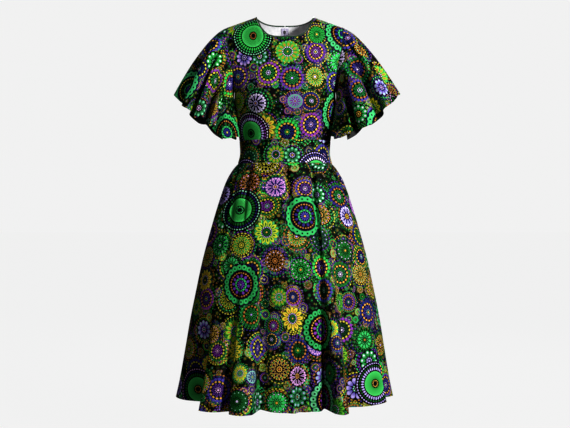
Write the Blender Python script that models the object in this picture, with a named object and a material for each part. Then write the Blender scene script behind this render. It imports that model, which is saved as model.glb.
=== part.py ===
"""Flutter dress, filled out as it is worn: a round-necked bodice, a wide waistband, a flared
skirt with pleats and hanging folds, two flutter sleeves, a bound neck edge, and a concealed
zip down the centre back with a slider and a pull tab.

Metres, +Z up, the front of the dress faces -Y and the wearer's left is +X. The origin is midway
between the two shoulder seams, where the wearer's shoulders carry the dress. Heights are given
as drops below the neck point, which is the inner end of a shoulder seam. Angles round the body
run from the centre front, 0 degrees, through the wearer's left side, 90, to the centre back, 180.
"""

import math

import bmesh
import bpy
import numpy as np

X, Y, Z = 0, 1, 2

# Finishes: colour, roughness and, for the metal, how metallic it is
CLOTH = ((0.02, 0.09, 0.04), 0.62)
EDGING = ((0.008, 0.03, 0.015), 0.6)
TAPE = ((0.55, 0.53, 0.60), 0.75)
NYLON = ((0.50, 0.48, 0.56), 0.4)
METAL = ((0.42, 0.41, 0.45), 0.3, 0.9)

# Cloth and seams
WALL = 0.0016
SEAM_GAP = 0.0003
HALF_GAP = SEAM_GAP / 2

# Shoulders and neck
NECK_POINT_Z = 0.016
SHOULDER_HALF = 0.180
NECK_HALF = 0.0925
SHOULDER_SLOPE = 0.36
FRONT_NECK_DROP = 0.0735
FRONT_NECK_POWER = 4.2
BACK_NECK_DROP = 0.0180
BACK_NECK_POWER = 3.0
BINDING_WIDTH = 0.0042
BINDING_THICKNESS = 0.0026

# Heights on the body, as drops below the neck point
SHOULDER_TIP = SHOULDER_SLOPE * (SHOULDER_HALF - NECK_HALF)
UNDERARM = 0.232
BUST = 0.272
BAND_TOP = 0.388
BAND_NARROWEST = 0.425
BAND_BOTTOM = 0.459
HEM = 1.1975

# Zip down the centre back. The back opening widens above the slider, up to the neck edge.
OPENING_HALF = 0.0010
OPENING_TOP_HALF = 0.0017
OPENING_ROOT = 0.040
ZIP_TOP = 0.0215
ZIP_BOTTOM = 0.600
TAPE_END = 0.615
TAPE_OUTER_X = 0.0115
TAPE_THICKNESS = 0.0010
TAPE_GAP = 0.0004
COIL_HALF = (0.0015, 0.0009)
SLIDER_DROP = 0.0315
SLIDER_HALF = (0.0032, 0.0043, 0.0016)
STOP_HALF = (0.0022, 0.0028, 0.0012)
ROW_CLEARANCE = 0.002

# The pull tab hangs on a bar through the slider's lug.
LUG_HALF_WIDTH = 0.0008
LUG_RADIUS = 0.00175
LUG_HOLE_RADIUS = 0.00095
LUG_STEM_HALF = 0.0012
PIVOT_HEIGHT = 0.0022
PULL_LENGTH = 0.0195
PULL_HALF_THICKNESS = 0.0004
PULL_LIE = 0.0010
PULL_BAR_HALF = 0.0005
PULL_WINDOW_HALF = 0.0014
PULL_WINDOW_LENGTH = 0.0052
PULL_HALF_WIDTHS = (0.0023, 0.0030)

# Grid sizes
CHAMFERED_SIDES = 8
NECK_COLUMNS = 8
SHOULDER_COLUMNS = 8
SIDE_ROWS = 4
ARMHOLE_ROWS = 8
BAND_COLUMNS = 30
SKIRT_FRONT_COLUMNS = 76
SKIRT_BACK_COLUMNS = 34
SKIRT_ROWS = 13
SKIRT_ROW_POWER = 1.25
SKIRT_HEM_STEPS = 4000
SLEEVE_ROWS = 6
SLEEVE_ROW_POWER = 1.15
SLEEVE_HEM_STEPS = 3600
SLEEVE_NEAR = 0.15
SLEEVE_WIDEST = 0.45


def table(columns, rows):
    """A short table: one array for each named column."""
    return dict(zip(columns.split(), np.array(rows, float).T))


# The body under the cloth: half width, and depths in front of and behind the side seams.
TORSO = table(
    "drop half_width front_depth back_depth",
    [
        (0.000, 0.1800, 0.060, 0.052),
        (0.035, 0.1800, 0.065, 0.064),
        (0.072, 0.1798, 0.073, 0.079),
        (0.105, 0.1750, 0.082, 0.091),
        (0.145, 0.1660, 0.094, 0.099),
        (0.188, 0.1600, 0.108, 0.102),
        (0.232, 0.1585, 0.120, 0.101),
        (0.272, 0.1595, 0.126, 0.099),
        (0.330, 0.1515, 0.113, 0.094),
        (0.388, 0.1430, 0.100, 0.089),
        (0.425, 0.1410, 0.096, 0.087),
        (0.459, 0.1480, 0.102, 0.092),
    ],
)

# Bust fullness that the darts shape, on either side of the centre front.
BUST_HALF_SPACING = 0.082
BUST_FULLNESS = 0.013
BUST_SPREAD = 0.046

# The chest is flatter than an oval above the underarm.
FLAT_CHEST_POWER = 2.6
FLAT_CHEST_RISE = 0.07

# Armhole: how far its edge stands in front of and behind the side seam, the share of its height
# in which it turns, and, away from its edge, how much earlier the cloth turns with it.
ARMHOLE_FRONT = 0.058
ARMHOLE_BACK = 0.062
ARMHOLE_ROUND_SHARE = 0.45
ARMHOLE_EARLY = 0.2
ARMHOLE_EDGE_POWER = 10
SHOULDER_ROUNDING_FRONT = 0.062
SHOULDER_ROUNDING_BACK = 0.052

# The skirt without its folds.
SKIRT = table(
    "drop half_width front_depth back_depth",
    [
        (0.459, 0.1480, 0.102, 0.092),
        (0.478, 0.1635, 0.109, 0.101),
        (0.515, 0.1840, 0.121, 0.117),
        (0.572, 0.2043, 0.136, 0.138),
        (0.666, 0.2326, 0.152, 0.163),
        (0.760, 0.2577, 0.165, 0.181),
        (0.855, 0.2780, 0.175, 0.195),
        (0.949, 0.2965, 0.183, 0.206),
        (1.043, 0.3115, 0.190, 0.215),
        (1.138, 0.3270, 0.195, 0.223),
        (1.1975, 0.3390, 0.198, 0.228),
    ],
)

# The skirt's folds, in order round the body. Each row is a ridge or a hollow of the cloth:
# where it leaves the waist seam and reaches the hem, how far it stands out below the seam and
# at the hem, the drop at which it begins, and how far its hem is lifted.
FOLDS = table(
    "waist_deg hem_deg top_mm hem_mm onset lift_mm",
    [
        (-90, -90, 0, 4, 0.90, 9),
        (-79, -70, 2, -6, 0.85, 10),
        (-67, -50, -4, -34, 0.88, 10),
        (-59, -43, 2, 48, 0.90, 0),
        (-52, -36, 3, 52, 0.90, 0),
        (-45, -28, -4, 10, 0.88, -2),
        (-39, -25.5, 2, 62, 0.80, 0),
        (-33, -20, 3, 76, 0.80, 0),
        (-27, -15, 1, 58, 0.78, 0),
        (-22, -13, -4, -24, 0.74, 0),
        (-13, -6, 2, -2, 0.62, -3),
        (-6, 4.5, 4, 10, 0.58, -4),
        (-3, 7.5, -10, -10, 0.58, -4),
        (6, 11, 3, -2, 0.60, -3),
        (28, 17.5, 5, 0, 0.62, -2),
        (35, 21.5, -14, -30, 0.50, 0),
        (38, 23.5, 3, 54, 0.66, 0),
        (42, 26.5, 4, 74, 0.66, 0),
        (47, 30, 2, 54, 0.74, 0),
        (51, 32.5, -4, -22, 0.78, 2),
        (62, 46, 3, 2, 0.78, 4),
        (72, 61, 1, 14, 0.84, 10),
        (80, 68, -4, -20, 0.88, 16),
        (90, 90, 0, 0, 0.90, 12),
        (99, 106, 2, -10, 0.88, 7),
        (107, 117, -3, -30, 0.86, 4),
        (114, 121, 3, 42, 0.84, 2),
        (121, 127, 2, 46, 0.84, 0),
        (128, 131, -5, -26, 0.78, 0),
        (136, 139, 3, 4, 0.74, 0),
        (143, 145, 3, 56, 0.72, 0),
        (149, 151, 2, 52, 0.72, 0),
        (155, 154, -6, -24, 0.68, 0),
        (164, 163, 3, 6, 0.70, 0),
        (172, 171, 0, 36, 0.72, 0),
        (180, 180, 0, 8, 0.72, 0),
        (188, 187, 0, 34, 0.72, 0),
        (196, 193, -5, -22, 0.68, 0),
        (203, 199, 2, 44, 0.72, 0),
        (210, 206, 3, 54, 0.72, 0),
        (217, 211, -5, -22, 0.74, 0),
        (226, 222, 3, 10, 0.78, 0),
        (233, 229, 2, 50, 0.82, 0),
        (241, 238, 3, 42, 0.84, 2),
        (248, 242, -4, -30, 0.86, 4),
        (259, 256, 2, -6, 0.86, 7),
        (270, 270, 0, 4, 0.90, 9),
    ],
)
FOLD_FADE_IN = 0.035
PLEAT_END = (0.53, 0.74)
FOLD_GROWTH = 1.25

# Flutter sleeves. The hem is an oval from its outer tip to its lowest point at the underarm.
SLEEVE_TIP_X = {"left": 0.350, "right": 0.338}
SLEEVE_TIP_DROP = 0.2460
SLEEVE_LOW_X = 0.165
SLEEVE_LOW_DROP = 0.361
SLEEVE_HALF_DEPTH = 0.118
SLEEVE_SAG = 0.028
CAP_REACH = (0.034, 0.022)
CAP_FALL = (0.032, 0.014, 0.020)
CAP_SPREAD = 0.034

# Flutes of each sleeve's hem, in order from its outer tip round the front: the angle from the
# tip, how far the ridge or hollow stands out in the plane of the hem, and how far it is lifted.
FLUTES = {
    "right": table(
        "angle_deg hem_mm lift_mm",
        [
            (0, 2, 2),
            (20, 14, 0),
            (42, -8, 3),
            (56, 22, 0),
            (65, 20, 4),
            (72, -30, 6),
            (79, 26, -8),
            (92, 24, 10),
            (98, -26, 8),
            (103, 26, -4),
            (113, 22, 10),
            (118, -24, -4),
            (123, 28, -16),
            (138, 34, -4),
            (155, 44, 9),
            (170, -2, -6),
            (180, -8, 4),
            (196, 4, 12),
            (213, 30, 4),
            (231, -22, 0),
            (246, 26, -10),
            (259, 24, -10),
            (273, -26, 2),
            (288, 26, -8),
            (303, 20, -6),
            (320, -22, 4),
            (340, 12, 0),
            (360, 2, 2),
        ],
    ),
    "left": table(
        "angle_deg hem_mm lift_mm",
        [
            (0, 2, 2),
            (14, 14, 0),
            (29, -24, 14),
            (43, 14, 6),
            (62, 20, 8),
            (72, -34, 8),
            (81, 24, -16),
            (96, 34, -14),
            (109, 24, -6),
            (115, -26, -2),
            (121, 26, -4),
            (136, 34, -5),
            (153, 44, 9),
            (169, 0, -4),
            (180, -8, 4),
            (197, 6, 12),
            (212, 28, 4),
            (229, -24, 0),
            (243, 24, -10),
            (257, 26, -10),
            (271, -24, 2),
            (285, 24, -8),
            (301, 22, -6),
            (322, -20, 4),
            (343, 10, 0),
            (360, 2, 2),
        ],
    ),
}
FLUTE_ONSET = 0.06


def smooth(x, y, at):
    """A curve through the points (x, y), read at the values in at. It is a cubic between
    neighbours whose slope at each point is the harmonic mean of the slopes on either side, or
    zero at a peak, so that the curve never overshoots its points."""
    step = np.diff(x)
    rise = np.diff(y) / step
    before, after = rise[:-1], rise[1:]
    total = np.where(before + after == 0, 1, before + after)
    inner = np.where(before * after > 0, 2 * before * after / total, 0)
    slope = np.concatenate([rise[:1], inner, rise[-1:]])
    at = np.clip(at, x[0], x[-1])
    i = np.clip(np.searchsorted(x, at) - 1, 0, len(x) - 2)
    t = (at - x[i]) / step[i]
    from_left = (1 + 2 * t) * (1 - t) ** 2 * y[i] + t * (1 - t) ** 2 * step[i] * slope[i]
    from_right = t**2 * (3 - 2 * t) * y[i + 1] - t**2 * (1 - t) * step[i] * slope[i + 1]
    return from_left + from_right


def ease(value):
    """Rises smoothly from 0 to 1 as value goes from 0 to 1."""
    t = np.clip(value, 0, 1)
    return t * t * (3 - 2 * t)


def quarter_round(value):
    """A quarter of a circle: 0 at 0, upright there, and level at 1 from value 1 on."""
    return np.sqrt(1 - (1 - np.clip(value, 0, 1)) ** 2)


def torso_at(drop, column):
    return smooth(TORSO["drop"], TORSO[column], drop)


def neck_angle():
    """The column of the bodice that ends at the neck point."""
    return math.degrees(math.asin(NECK_HALF / SHOULDER_HALF))


def bodice_point(angle, drop, back):
    """A point of the bodice front or back. Across, it is an oval whose ends are the side seam or,
    above the underarm, the armhole edge. Near the top it rounds over to the shoulder seam."""
    across = np.sin(np.radians(angle))
    x = torso_at(drop, "half_width") * across
    centre = torso_at(drop, "back_depth" if back else "front_depth")
    up_the_armhole = (UNDERARM - drop) / (UNDERARM - SHOULDER_TIP)
    near_edge = np.abs(across) ** ARMHOLE_EDGE_POWER
    turn = near_edge * quarter_round(up_the_armhole / ARMHOLE_ROUND_SHARE)
    soft_turn = ease((up_the_armhole + ARMHOLE_EARLY) / (ARMHOLE_ROUND_SHARE + ARMHOLE_EARLY))
    turn = turn + (1 - near_edge) * soft_turn
    edge = (ARMHOLE_BACK if back else ARMHOLE_FRONT) * turn
    oval = np.cos(np.radians(angle))
    flat = 1 - np.abs(across) ** FLAT_CHEST_POWER
    share = ease((UNDERARM - drop) / FLAT_CHEST_RISE)
    depth = edge + (centre - edge) * (oval * (1 - share) + flat * share)
    if not back:
        beside = (np.abs(x) - BUST_HALF_SPACING) / BUST_SPREAD
        below = (drop - BUST) / BUST_SPREAD
        depth = depth + BUST_FULLNESS * np.exp(-(beside**2) - below**2) * oval
    below_seam = drop - SHOULDER_SLOPE * (np.abs(x) - NECK_HALF)
    rounding = SHOULDER_ROUNDING_BACK if back else SHOULDER_ROUNDING_FRONT
    depth = depth * quarter_round(below_seam / rounding)
    y = depth + HALF_GAP if back else -depth - HALF_GAP
    return np.stack([x, y, NECK_POINT_Z - drop], -1)


def top_of_column(angle, back):
    """The drop at which a column of the bodice ends: at the shoulder seam or the neck edge."""
    x = np.abs(SHOULDER_HALF * np.sin(np.radians(angle)))
    share = np.clip(x / NECK_HALF, 0, 1)
    if back:
        neck = BACK_NECK_DROP * (1 - share**BACK_NECK_POWER)
    else:
        neck = FRONT_NECK_DROP * (1 - share**FRONT_NECK_POWER)
    return np.where(x < NECK_HALF, neck, SHOULDER_SLOPE * (x - NECK_HALF))


def bodice_columns(low, high):
    """Column angles from low to high, closest together beside each neck point."""
    neck = neck_angle()
    share = 1 - (1 - np.arange(NECK_COLUMNS + 1) / NECK_COLUMNS) ** 2
    inside = np.degrees(np.arcsin(share * NECK_HALF / SHOULDER_HALF))
    half = np.concatenate([inside[:-1], np.linspace(neck, 90, SHOULDER_COLUMNS + 1)])
    whole = np.concatenate([-half[:0:-1], half])
    return whole[(whole >= low) & (whole <= high)]


def bodice_grid(angles, back):
    """Rows from the waistband up: level ones to the underarm, then ones that fan out to the
    shoulder seam and the neck edge, closest together where the armhole turns."""
    side = np.linspace(BAND_TOP - HALF_GAP, UNDERARM, SIDE_ROWS + 1)
    turn = (1 - np.cos(np.pi * np.arange(1, ARMHOLE_ROWS + 1) / ARMHOLE_ROWS)) / 2
    top = top_of_column(angles, back)
    drops = [np.full(len(angles), d) for d in side]
    drops += [UNDERARM + (top - UNDERARM) * share for share in turn]
    return np.stack([bodice_point(angles, drop, back) for drop in drops])


def armhole_edge(back):
    """The armhole edge of the wearer's left front or back, from the shoulder to the underarm."""
    return bodice_grid(np.array([90.0]), back)[: SIDE_ROWS - 1 : -1, 0]


def ellipse_point(angle, half, front, back):
    """A point of the level oval round the body, and the oval's outward direction there."""
    across, ahead = np.sin(np.radians(angle)), np.cos(np.radians(angle))
    depth = np.where(ahead > 0, front, back)
    point = np.stack([half * across, -depth * ahead], -1)
    out = np.stack([across / half, -ahead / depth], -1)
    return point, out / np.linalg.norm(out, axis=-1, keepdims=True)


def skirt_at(drop, column):
    return smooth(SKIRT["drop"], SKIRT[column], drop)


def fold_value(column, place):
    return smooth(np.arange(len(FOLDS[column]), dtype=float), FOLDS[column], place)


def skirt_point(place, share):
    """A point of the skirt. place runs along the fold table and share from the waist seam to the
    hem. Each fold stands out along the oval's outward direction, and grows from its onset."""
    drop = BAND_BOTTOM + (HEM - BAND_BOTTOM) * share
    half = skirt_at(drop, "half_width")
    first, last = SKIRT["half_width"][[0, -1]]
    spread = np.sqrt(np.clip((half - first) / (last - first), 0, 1))
    angle = fold_value("waist_deg", place) * (1 - spread) + fold_value("hem_deg", place) * spread
    point, out = ellipse_point(angle, half, skirt_at(drop, "front_depth"), skirt_at(drop, "back_depth"))
    onset = fold_value("onset", place)
    hem_part = np.clip((drop - onset) / (HEM - onset), 0, 1) ** FOLD_GROWTH
    pleat_part = ease((drop - BAND_BOTTOM) / FOLD_FADE_IN)
    pleat_part = pleat_part * (1 - ease((drop - PLEAT_END[0]) / (PLEAT_END[1] - PLEAT_END[0])))
    stand = fold_value("top_mm", place) * pleat_part + fold_value("hem_mm", place) * hem_part
    plan = point + out * (stand / 1000)[..., None]
    z = NECK_POINT_Z - drop + fold_value("lift_mm", place) / 1000 * share
    return np.concatenate([plan, z[..., None]], -1)


def skirt_grid(first_deg, last_deg, columns):
    """Rows from the waist seam to the hem, between two seams named by their waist angle. The
    columns are equal steps of cloth along the hem."""
    steps = np.linspace(0, len(FOLDS["hem_deg"]) - 1, SKIRT_HEM_STEPS + 1)
    hem = skirt_point(steps, 1.0)
    length = np.concatenate([[0], np.cumsum(np.linalg.norm(np.diff(hem, axis=0), axis=1))])
    rows = np.arange(len(FOLDS["waist_deg"]))
    ends = [np.interp(degrees, FOLDS["waist_deg"], rows) for degrees in (first_deg, last_deg)]
    low, high = np.interp(ends, steps, length)
    place = np.interp(np.linspace(low, high, columns + 1), length, steps)
    place[[0, -1]] = ends
    shares = np.linspace(0, 1, SKIRT_ROWS + 1) ** SKIRT_ROW_POWER
    points = np.stack([skirt_point(place, share) for share in shares])
    points[0, :, Z] -= HALF_GAP
    return points


def band_grid(angles):
    """Three level rows of the waistband: one at each seam, and one at its narrowest."""
    rows = []
    for drop in (BAND_TOP + HALF_GAP, BAND_NARROWEST, BAND_BOTTOM - HALF_GAP):
        sizes = [torso_at(drop, column) for column in ("half_width", "front_depth", "back_depth")]
        point, _ = ellipse_point(angles, *sizes)
        rows.append(np.column_stack([point, np.full(len(angles), NECK_POINT_Z - drop)]))
    return np.stack(rows)


def sleeve_hem(side, angle):
    """The sleeve's hem, before it sags, at each angle from its outer tip: an oval from the tip
    to its lowest point, with flutes that stand out in its own plane. Also their stand-off."""
    tip = np.array([SLEEVE_TIP_X[side], 0, NECK_POINT_Z - SLEEVE_TIP_DROP])
    low = np.array([SLEEVE_LOW_X, 0, NECK_POINT_Z - SLEEVE_LOW_DROP])
    centre, long_half = (tip + low) / 2, (tip - low) / 2
    length_half = np.linalg.norm(long_half)
    cos, sin = np.cos(np.radians(angle))[:, None], np.sin(np.radians(angle))[:, None]
    ahead = np.array([0, -1, 0])
    out = unit(cos / length_half * (long_half / length_half) + sin / SLEEVE_HALF_DEPTH * ahead)
    out = out * smooth(FLUTES[side]["angle_deg"], FLUTES[side]["hem_mm"], angle)[:, None] / 1000
    return centre + cos * long_half + sin * SLEEVE_HALF_DEPTH * ahead + out, out


def sleeve_columns(side, corners):
    """Where the sleeve's columns lie: places along the armhole, counted in its corners from the
    shoulder, and hem angles. Equal steps of hem go with equal shares of each half of the armhole.
    There is a column at each corner, ridge and hollow, and one more in each wide space between."""
    angle = np.linspace(0, 360, SLEEVE_HEM_STEPS + 1)
    hem, _ = sleeve_hem(side, angle)
    length = np.concatenate([[0], np.cumsum(np.linalg.norm(np.diff(hem, axis=0), axis=1))])
    middle = length[SLEEVE_HEM_STEPS // 2]
    place = np.interp(length, [0, middle, length[-1]], [0, corners / 2, corners])
    wanted = np.interp(FLUTES[side]["angle_deg"], angle, place)
    corner = np.round(wanted)
    wanted = np.where(np.abs(wanted - corner) < SLEEVE_NEAR, corner, wanted)
    places = np.unique(np.concatenate([np.arange(corners + 1), wanted]))
    space = np.diff(places)
    between = (places[:-1] + space / 2)[space > SLEEVE_WIDEST]
    places = np.unique(np.concatenate([places, between]))
    return places, np.interp(places, place, angle)


def sleeve_grid(side):
    """A flutter sleeve. Each column is a curve from its point of the armhole, out over the arm,
    to its point of the hem, which sags between the tip and the underarm."""
    front, back = armhole_edge(False), armhole_edge(True)
    ring = np.concatenate([front, back[-2::-1]])
    ring[[0, len(front) - 1, -1], Y] = 0
    places, angle = sleeve_columns(side, len(ring) - 1)
    start = np.column_stack([np.interp(places, np.arange(len(ring)), ring[:, i]) for i in (X, Y, Z)])
    start[:, X] += SEAM_GAP
    hem, out = sleeve_hem(side, angle)
    cos, sin = np.cos(np.radians(angle)), np.sin(np.radians(angle))
    hem[:, Z] -= SLEEVE_SAG * (1 - cos**4)
    hem[:, Z] += smooth(FLUTES[side]["angle_deg"], FLUTES[side]["lift_mm"], angle) / 1000
    reach = CAP_REACH[0] + CAP_REACH[1] * cos
    fall = CAP_FALL[0] - CAP_FALL[1] * cos + CAP_FALL[2] * sin**2
    bend = start + np.stack([reach, -CAP_SPREAD * sin, -fall], -1)
    rows = []
    for share in np.linspace(0, 1, SLEEVE_ROWS + 1) ** SLEEVE_ROW_POWER:
        curve = (1 - share) ** 2 * start + 2 * share * (1 - share) * bend + share**2 * hem
        early_flute = np.clip((share - FLUTE_ONSET) / (1 - FLUTE_ONSET), 0, 1) - share**2
        rows.append(curve + early_flute * out)
    return np.stack(rows)[:, :-1]


def unit(vectors):
    return vectors / np.linalg.norm(vectors, axis=-1, keepdims=True)


def grid_normals(points, closed, turn):
    """Unit normals of a grid of points, from the differences between neighbours. turn is 1 or -1
    and makes them point out of the garment."""
    if closed:
        along = np.roll(points, -1, 1) - np.roll(points, 1, 1)
    else:
        along = np.gradient(points, axis=1)
    return turn * unit(np.cross(along, np.gradient(points, axis=0)))


def slit_half(drop):
    """Half the width of the slit over the zip, which widens above the slider."""
    above_slider = ease((OPENING_ROOT - drop) / OPENING_ROOT)
    return OPENING_HALF + (OPENING_TOP_HALF - OPENING_HALF) * above_slider


def opening_half(drop):
    """Half the width of the gap between the two back pieces: the slit over the zip, and a plain
    seam below it."""
    return np.where(drop < ZIP_BOTTOM, slit_half(drop), HALF_GAP)


def part_back(points, name):
    """Moves a back piece's edge at the centre line off it, by half of the opening."""
    column = int(np.argmin(np.abs(points[0, :, X])))
    sign = 1 if name.endswith("left") else -1
    points[:, column, X] = sign * opening_half(NECK_POINT_Z - points[:, column, Z])


def flatten(normals, place, axis):
    """Turns the wall's direction along an edge so that the edge's cap is square to the axis."""
    part = normals[place].copy()
    part[..., axis] = 0
    normals[place] = unit(part)


def wall_mesh(name, outer, inner, closed):
    """A closed wall between an outer and an inner grid of points, with caps along its edges."""
    rows, columns = outer.shape[:2]
    count = rows * columns
    index = np.arange(count).reshape(rows, columns)
    after = np.roll(index, -1, 1) if closed else index[:, 1:]
    before = index if closed else index[:, :-1]
    quads = np.stack([before[:-1], after[:-1], after[1:], before[1:]], -1).reshape(-1, 4)
    faces = [quads, quads[:, ::-1] + count]
    for row, turn in ((0, 1), (rows - 1, -1)):
        cap = np.stack([before[row], before[row] + count, after[row] + count, after[row]], -1)
        faces.append(cap[:, ::turn])
    if not closed:
        for column, turn in ((0, -1), (columns - 1, 1)):
            edge = index[:, column]
            cap = np.stack([edge[:-1], edge[:-1] + count, edge[1:] + count, edge[1:]], -1)
            faces.append(cap[:, ::turn])
    points = np.concatenate([outer.reshape(-1, 3), inner.reshape(-1, 3)])
    return add_mesh(name, points, np.concatenate(faces).tolist())


def tube_mesh(name, rings, looped=False):
    """A solid bar through a row of closed rings of points, capped at both ends or looped."""
    rows, columns = rings.shape[:2]
    index = np.arange(rows * columns).reshape(rows, columns)
    if looped:
        index = np.concatenate([index, index[:1]])
    after = np.roll(index, -1, 1)
    faces = np.stack([index[:-1], after[:-1], after[1:], index[1:]], -1).reshape(-1, 4).tolist()
    if not looped:
        faces += [index[0, ::-1].tolist(), index[-1].tolist()]
    return add_mesh(name, rings.reshape(-1, 3), faces)


def add_mesh(name, points, faces, origin=(0, 0, 0)):
    """A new object from points and faces, turned so that its faces look out of the solid."""
    mesh = bpy.data.meshes.new(name)
    mesh.from_pydata((points - np.array(origin)).tolist(), [], faces)
    shape = bmesh.new()
    shape.from_mesh(mesh)
    if shape.calc_volume(signed=True) < 0:
        bmesh.ops.reverse_faces(shape, faces=shape.faces)
        shape.to_mesh(mesh)
    shape.free()
    mesh.shade_smooth()
    mesh.set_sharp_from_angle(angle=math.radians(40))
    obj = bpy.data.objects.new(name, mesh)
    obj.location = origin
    bpy.context.scene.collection.objects.link(obj)
    return obj


def paint(obj, colour, roughness, metallic=0.0):
    """Gives an object a material of its own."""
    made = bpy.data.materials.new(obj.name + "_finish")
    made.use_nodes = True
    shader = made.node_tree.nodes["Principled BSDF"]
    shader.inputs["Base Color"].default_value = (*colour, 1)
    shader.inputs["Roughness"].default_value = roughness
    shader.inputs["Metallic"].default_value = metallic
    obj.data.materials.clear()
    obj.data.materials.append(made)
    return obj


def bodice_panel(name, low, high, back):
    """A bodice front or back piece, with square caps at its side, shoulder and waist seams. Gives
    its outer face and the wall's direction there."""
    angles = bodice_columns(low, high)
    points = bodice_grid(angles, back)
    if back:
        part_back(points, name)
    normals = grid_normals(points, False, -1 if back else 1)
    flatten(normals, (-1, np.abs(angles) >= neck_angle() - 1e-6), Y)
    flatten(normals, (0,), Z)
    for column in (0, -1):
        if abs(angles[column]) == 90:
            flatten(normals, (slice(0, SIDE_ROWS + 1), column), Y)
        else:
            flatten(normals, (slice(None), column), X)
    paint(wall_mesh(name, points, points - normals * WALL, False), *CLOTH)
    return angles, points, normals


def build_bodice():
    spans = [("bodice_front", -90, 90, False), ("bodice_back_left", 0, 90, True)]
    spans.append(("bodice_back_right", -90, 0, True))
    panels = {}
    for name, low, high, back in spans:
        angles, points, normals = bodice_panel(name, low, high, back)
        panels[name] = points
        inside = np.abs(angles) <= neck_angle() + 1e-6
        edge = name.replace("bodice", "neck_binding")
        build_binding(edge, points[-1, inside], normals[-1, inside], points[-2, inside])
    return panels


def build_binding(name, edge, normal, below):
    """A rolled strip beyond the neck edge of one bodice piece, with square ends. It stands off
    in the cloth's own plane, away from the row of points below the edge."""
    along = np.gradient(edge, axis=0)
    for end in (0, -1):
        if abs(edge[end, X]) > NECK_HALF / 2:
            along[end] = (0, 1, 0)
        else:
            along[end] = (1, 0, 0)
    away = unit(np.cross(along, normal))
    up = edge - below
    at_shoulder = np.abs(edge[:, X]) > NECK_HALF - 1e-4
    up[at_shoulder] = -edge[at_shoulder] * (1, 0, 0)
    away *= np.sign(np.sum(away * up, axis=1))[:, None]
    centre = edge + away * (SEAM_GAP + BINDING_WIDTH / 2) - normal * WALL / 2
    turn = np.radians(np.arange(0, 360, 45))[None, :, None]
    width = away[:, None] * np.cos(turn) * BINDING_WIDTH / 2
    thickness = normal[:, None] * np.sin(turn) * BINDING_THICKNESS / 2
    paint(tube_mesh(name, centre[:, None] + width + thickness), *EDGING)


def build_waistband():
    """The waistband: a front piece between the side seams and two back pieces at the zip."""
    spans = [("front", -90, 90, BAND_COLUMNS), ("back_left", 90, 180, BAND_COLUMNS // 2)]
    spans.append(("back_right", 180, 270, BAND_COLUMNS // 2))
    panels = {}
    for name, low, high, columns in spans:
        name = "waistband_" + name
        panels[name] = build_tube_panel(name, band_grid(np.linspace(low, high, columns + 1)), (0, -1))
    return panels


def build_skirt():
    """The skirt: a front piece between the side seams and two back pieces at the centre back."""
    spans = [("front", -90, 90, SKIRT_FRONT_COLUMNS), ("back_left", 90, 180, SKIRT_BACK_COLUMNS)]
    spans.append(("back_right", 180, 270, SKIRT_BACK_COLUMNS))
    panels = {}
    for name, low, high, columns in spans:
        name = "skirt_" + name
        panels[name] = build_tube_panel(name, skirt_grid(low, high, columns), (0,))
    return panels


def build_tube_panel(name, points, level_rows):
    """A front or back piece of the waistband or skirt, moved off its side seams and the centre
    back, with square caps there and at its level seams."""
    back = "back" in name
    points[..., Y] += HALF_GAP if back else -HALF_GAP
    if back:
        part_back(points, name)
    normals = grid_normals(points, False, -1)
    for row in level_rows:
        flatten(normals, (row,), Z)
    for column in (0, -1):
        at_side = abs(points[0, column, X]) > 0.1
        flatten(normals, (slice(None), column), Y if at_side else X)
    paint(wall_mesh(name, points, points - normals * WALL, False), *CLOTH)
    return points


def build_sleeves():
    for side, sign in (("left", 1), ("right", -1)):
        points = sleeve_grid(side)
        points[..., X] *= sign
        normals = grid_normals(points, True, sign)
        flatten(normals, (0,), X)
        paint(wall_mesh("sleeve_" + side, points, points - normals * WALL, True), *CLOTH)


def centre_strip(panels, side):
    """The rows of one side's back pieces beside the centre line, from the neck down, each as a
    point on the centre edge and a point under the tape's outer edge."""
    turn = slice(None, None, 1 if side == "left" else -1)
    rows = list(panels["bodice_back_" + side][::-1, turn])
    rows += list(panels["waistband_back_" + side][1:, ::-1][:, turn])
    rows += list(panels["skirt_back_" + side][1:, ::-1][:, turn])
    strip = []
    for row in rows:
        near = row[:NECK_COLUMNS]
        outer = [np.interp(TAPE_OUTER_X, np.abs(near[:, X]), near[:, axis]) for axis in (Y, Z)]
        strip.append([row[0], [math.copysign(TAPE_OUTER_X, row[1, X]), *outer]])
    return np.array(strip)


def strip_at(strip, drops):
    """The strip's two points at each of some drops."""
    known = NECK_POINT_Z - strip[:, 0, Z]
    columns = []
    for side in (0, 1):
        columns.append(np.stack([np.interp(drops, known, strip[:, side, i]) for i in (X, Y, Z)], -1))
    return np.stack(columns, 1)


def zip_drops(strip, first, last):
    """Drops from first to last, with one at each row of the strip well inside them."""
    known = NECK_POINT_Z - strip[:, 0, Z]
    inside = (known > first + ROW_CLEARANCE) & (known < last - ROW_CLEARANCE)
    return np.concatenate([[first], known[inside], [last]])


def zip_frame(strip, drop):
    """A point of the back's outer face on the centre line, and there the directions across,
    down the back and out of it."""
    drops = (drop - ROW_CLEARANCE, drop, drop + ROW_CLEARANCE)
    above, point, below = strip_at(strip, drops)[:, 0] * (0, 1, 1)
    across = np.array([1.0, 0, 0])
    down = unit(below - above)
    return point, across, down, np.cross(across, down)


def build_tapes(panels):
    """The zip's two tapes, each on the wrong side of a back piece beside the opening."""
    for side, sign in (("left", 1), ("right", -1)):
        strip = centre_strip(panels, side)
        drops = zip_drops(strip, ZIP_TOP, TAPE_END)
        points = strip_at(strip, drops)
        points[:, 0, X] = sign * (slit_half(drops) + HALF_GAP)
        normals = grid_normals(points, False, sign)
        normals[..., X] = 0
        normals = unit(normals)
        outer = points - normals * (WALL + TAPE_GAP)
        paint(wall_mesh("zip_tape_" + side, outer, outer - normals * TAPE_THICKNESS, False), *TAPE)


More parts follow.
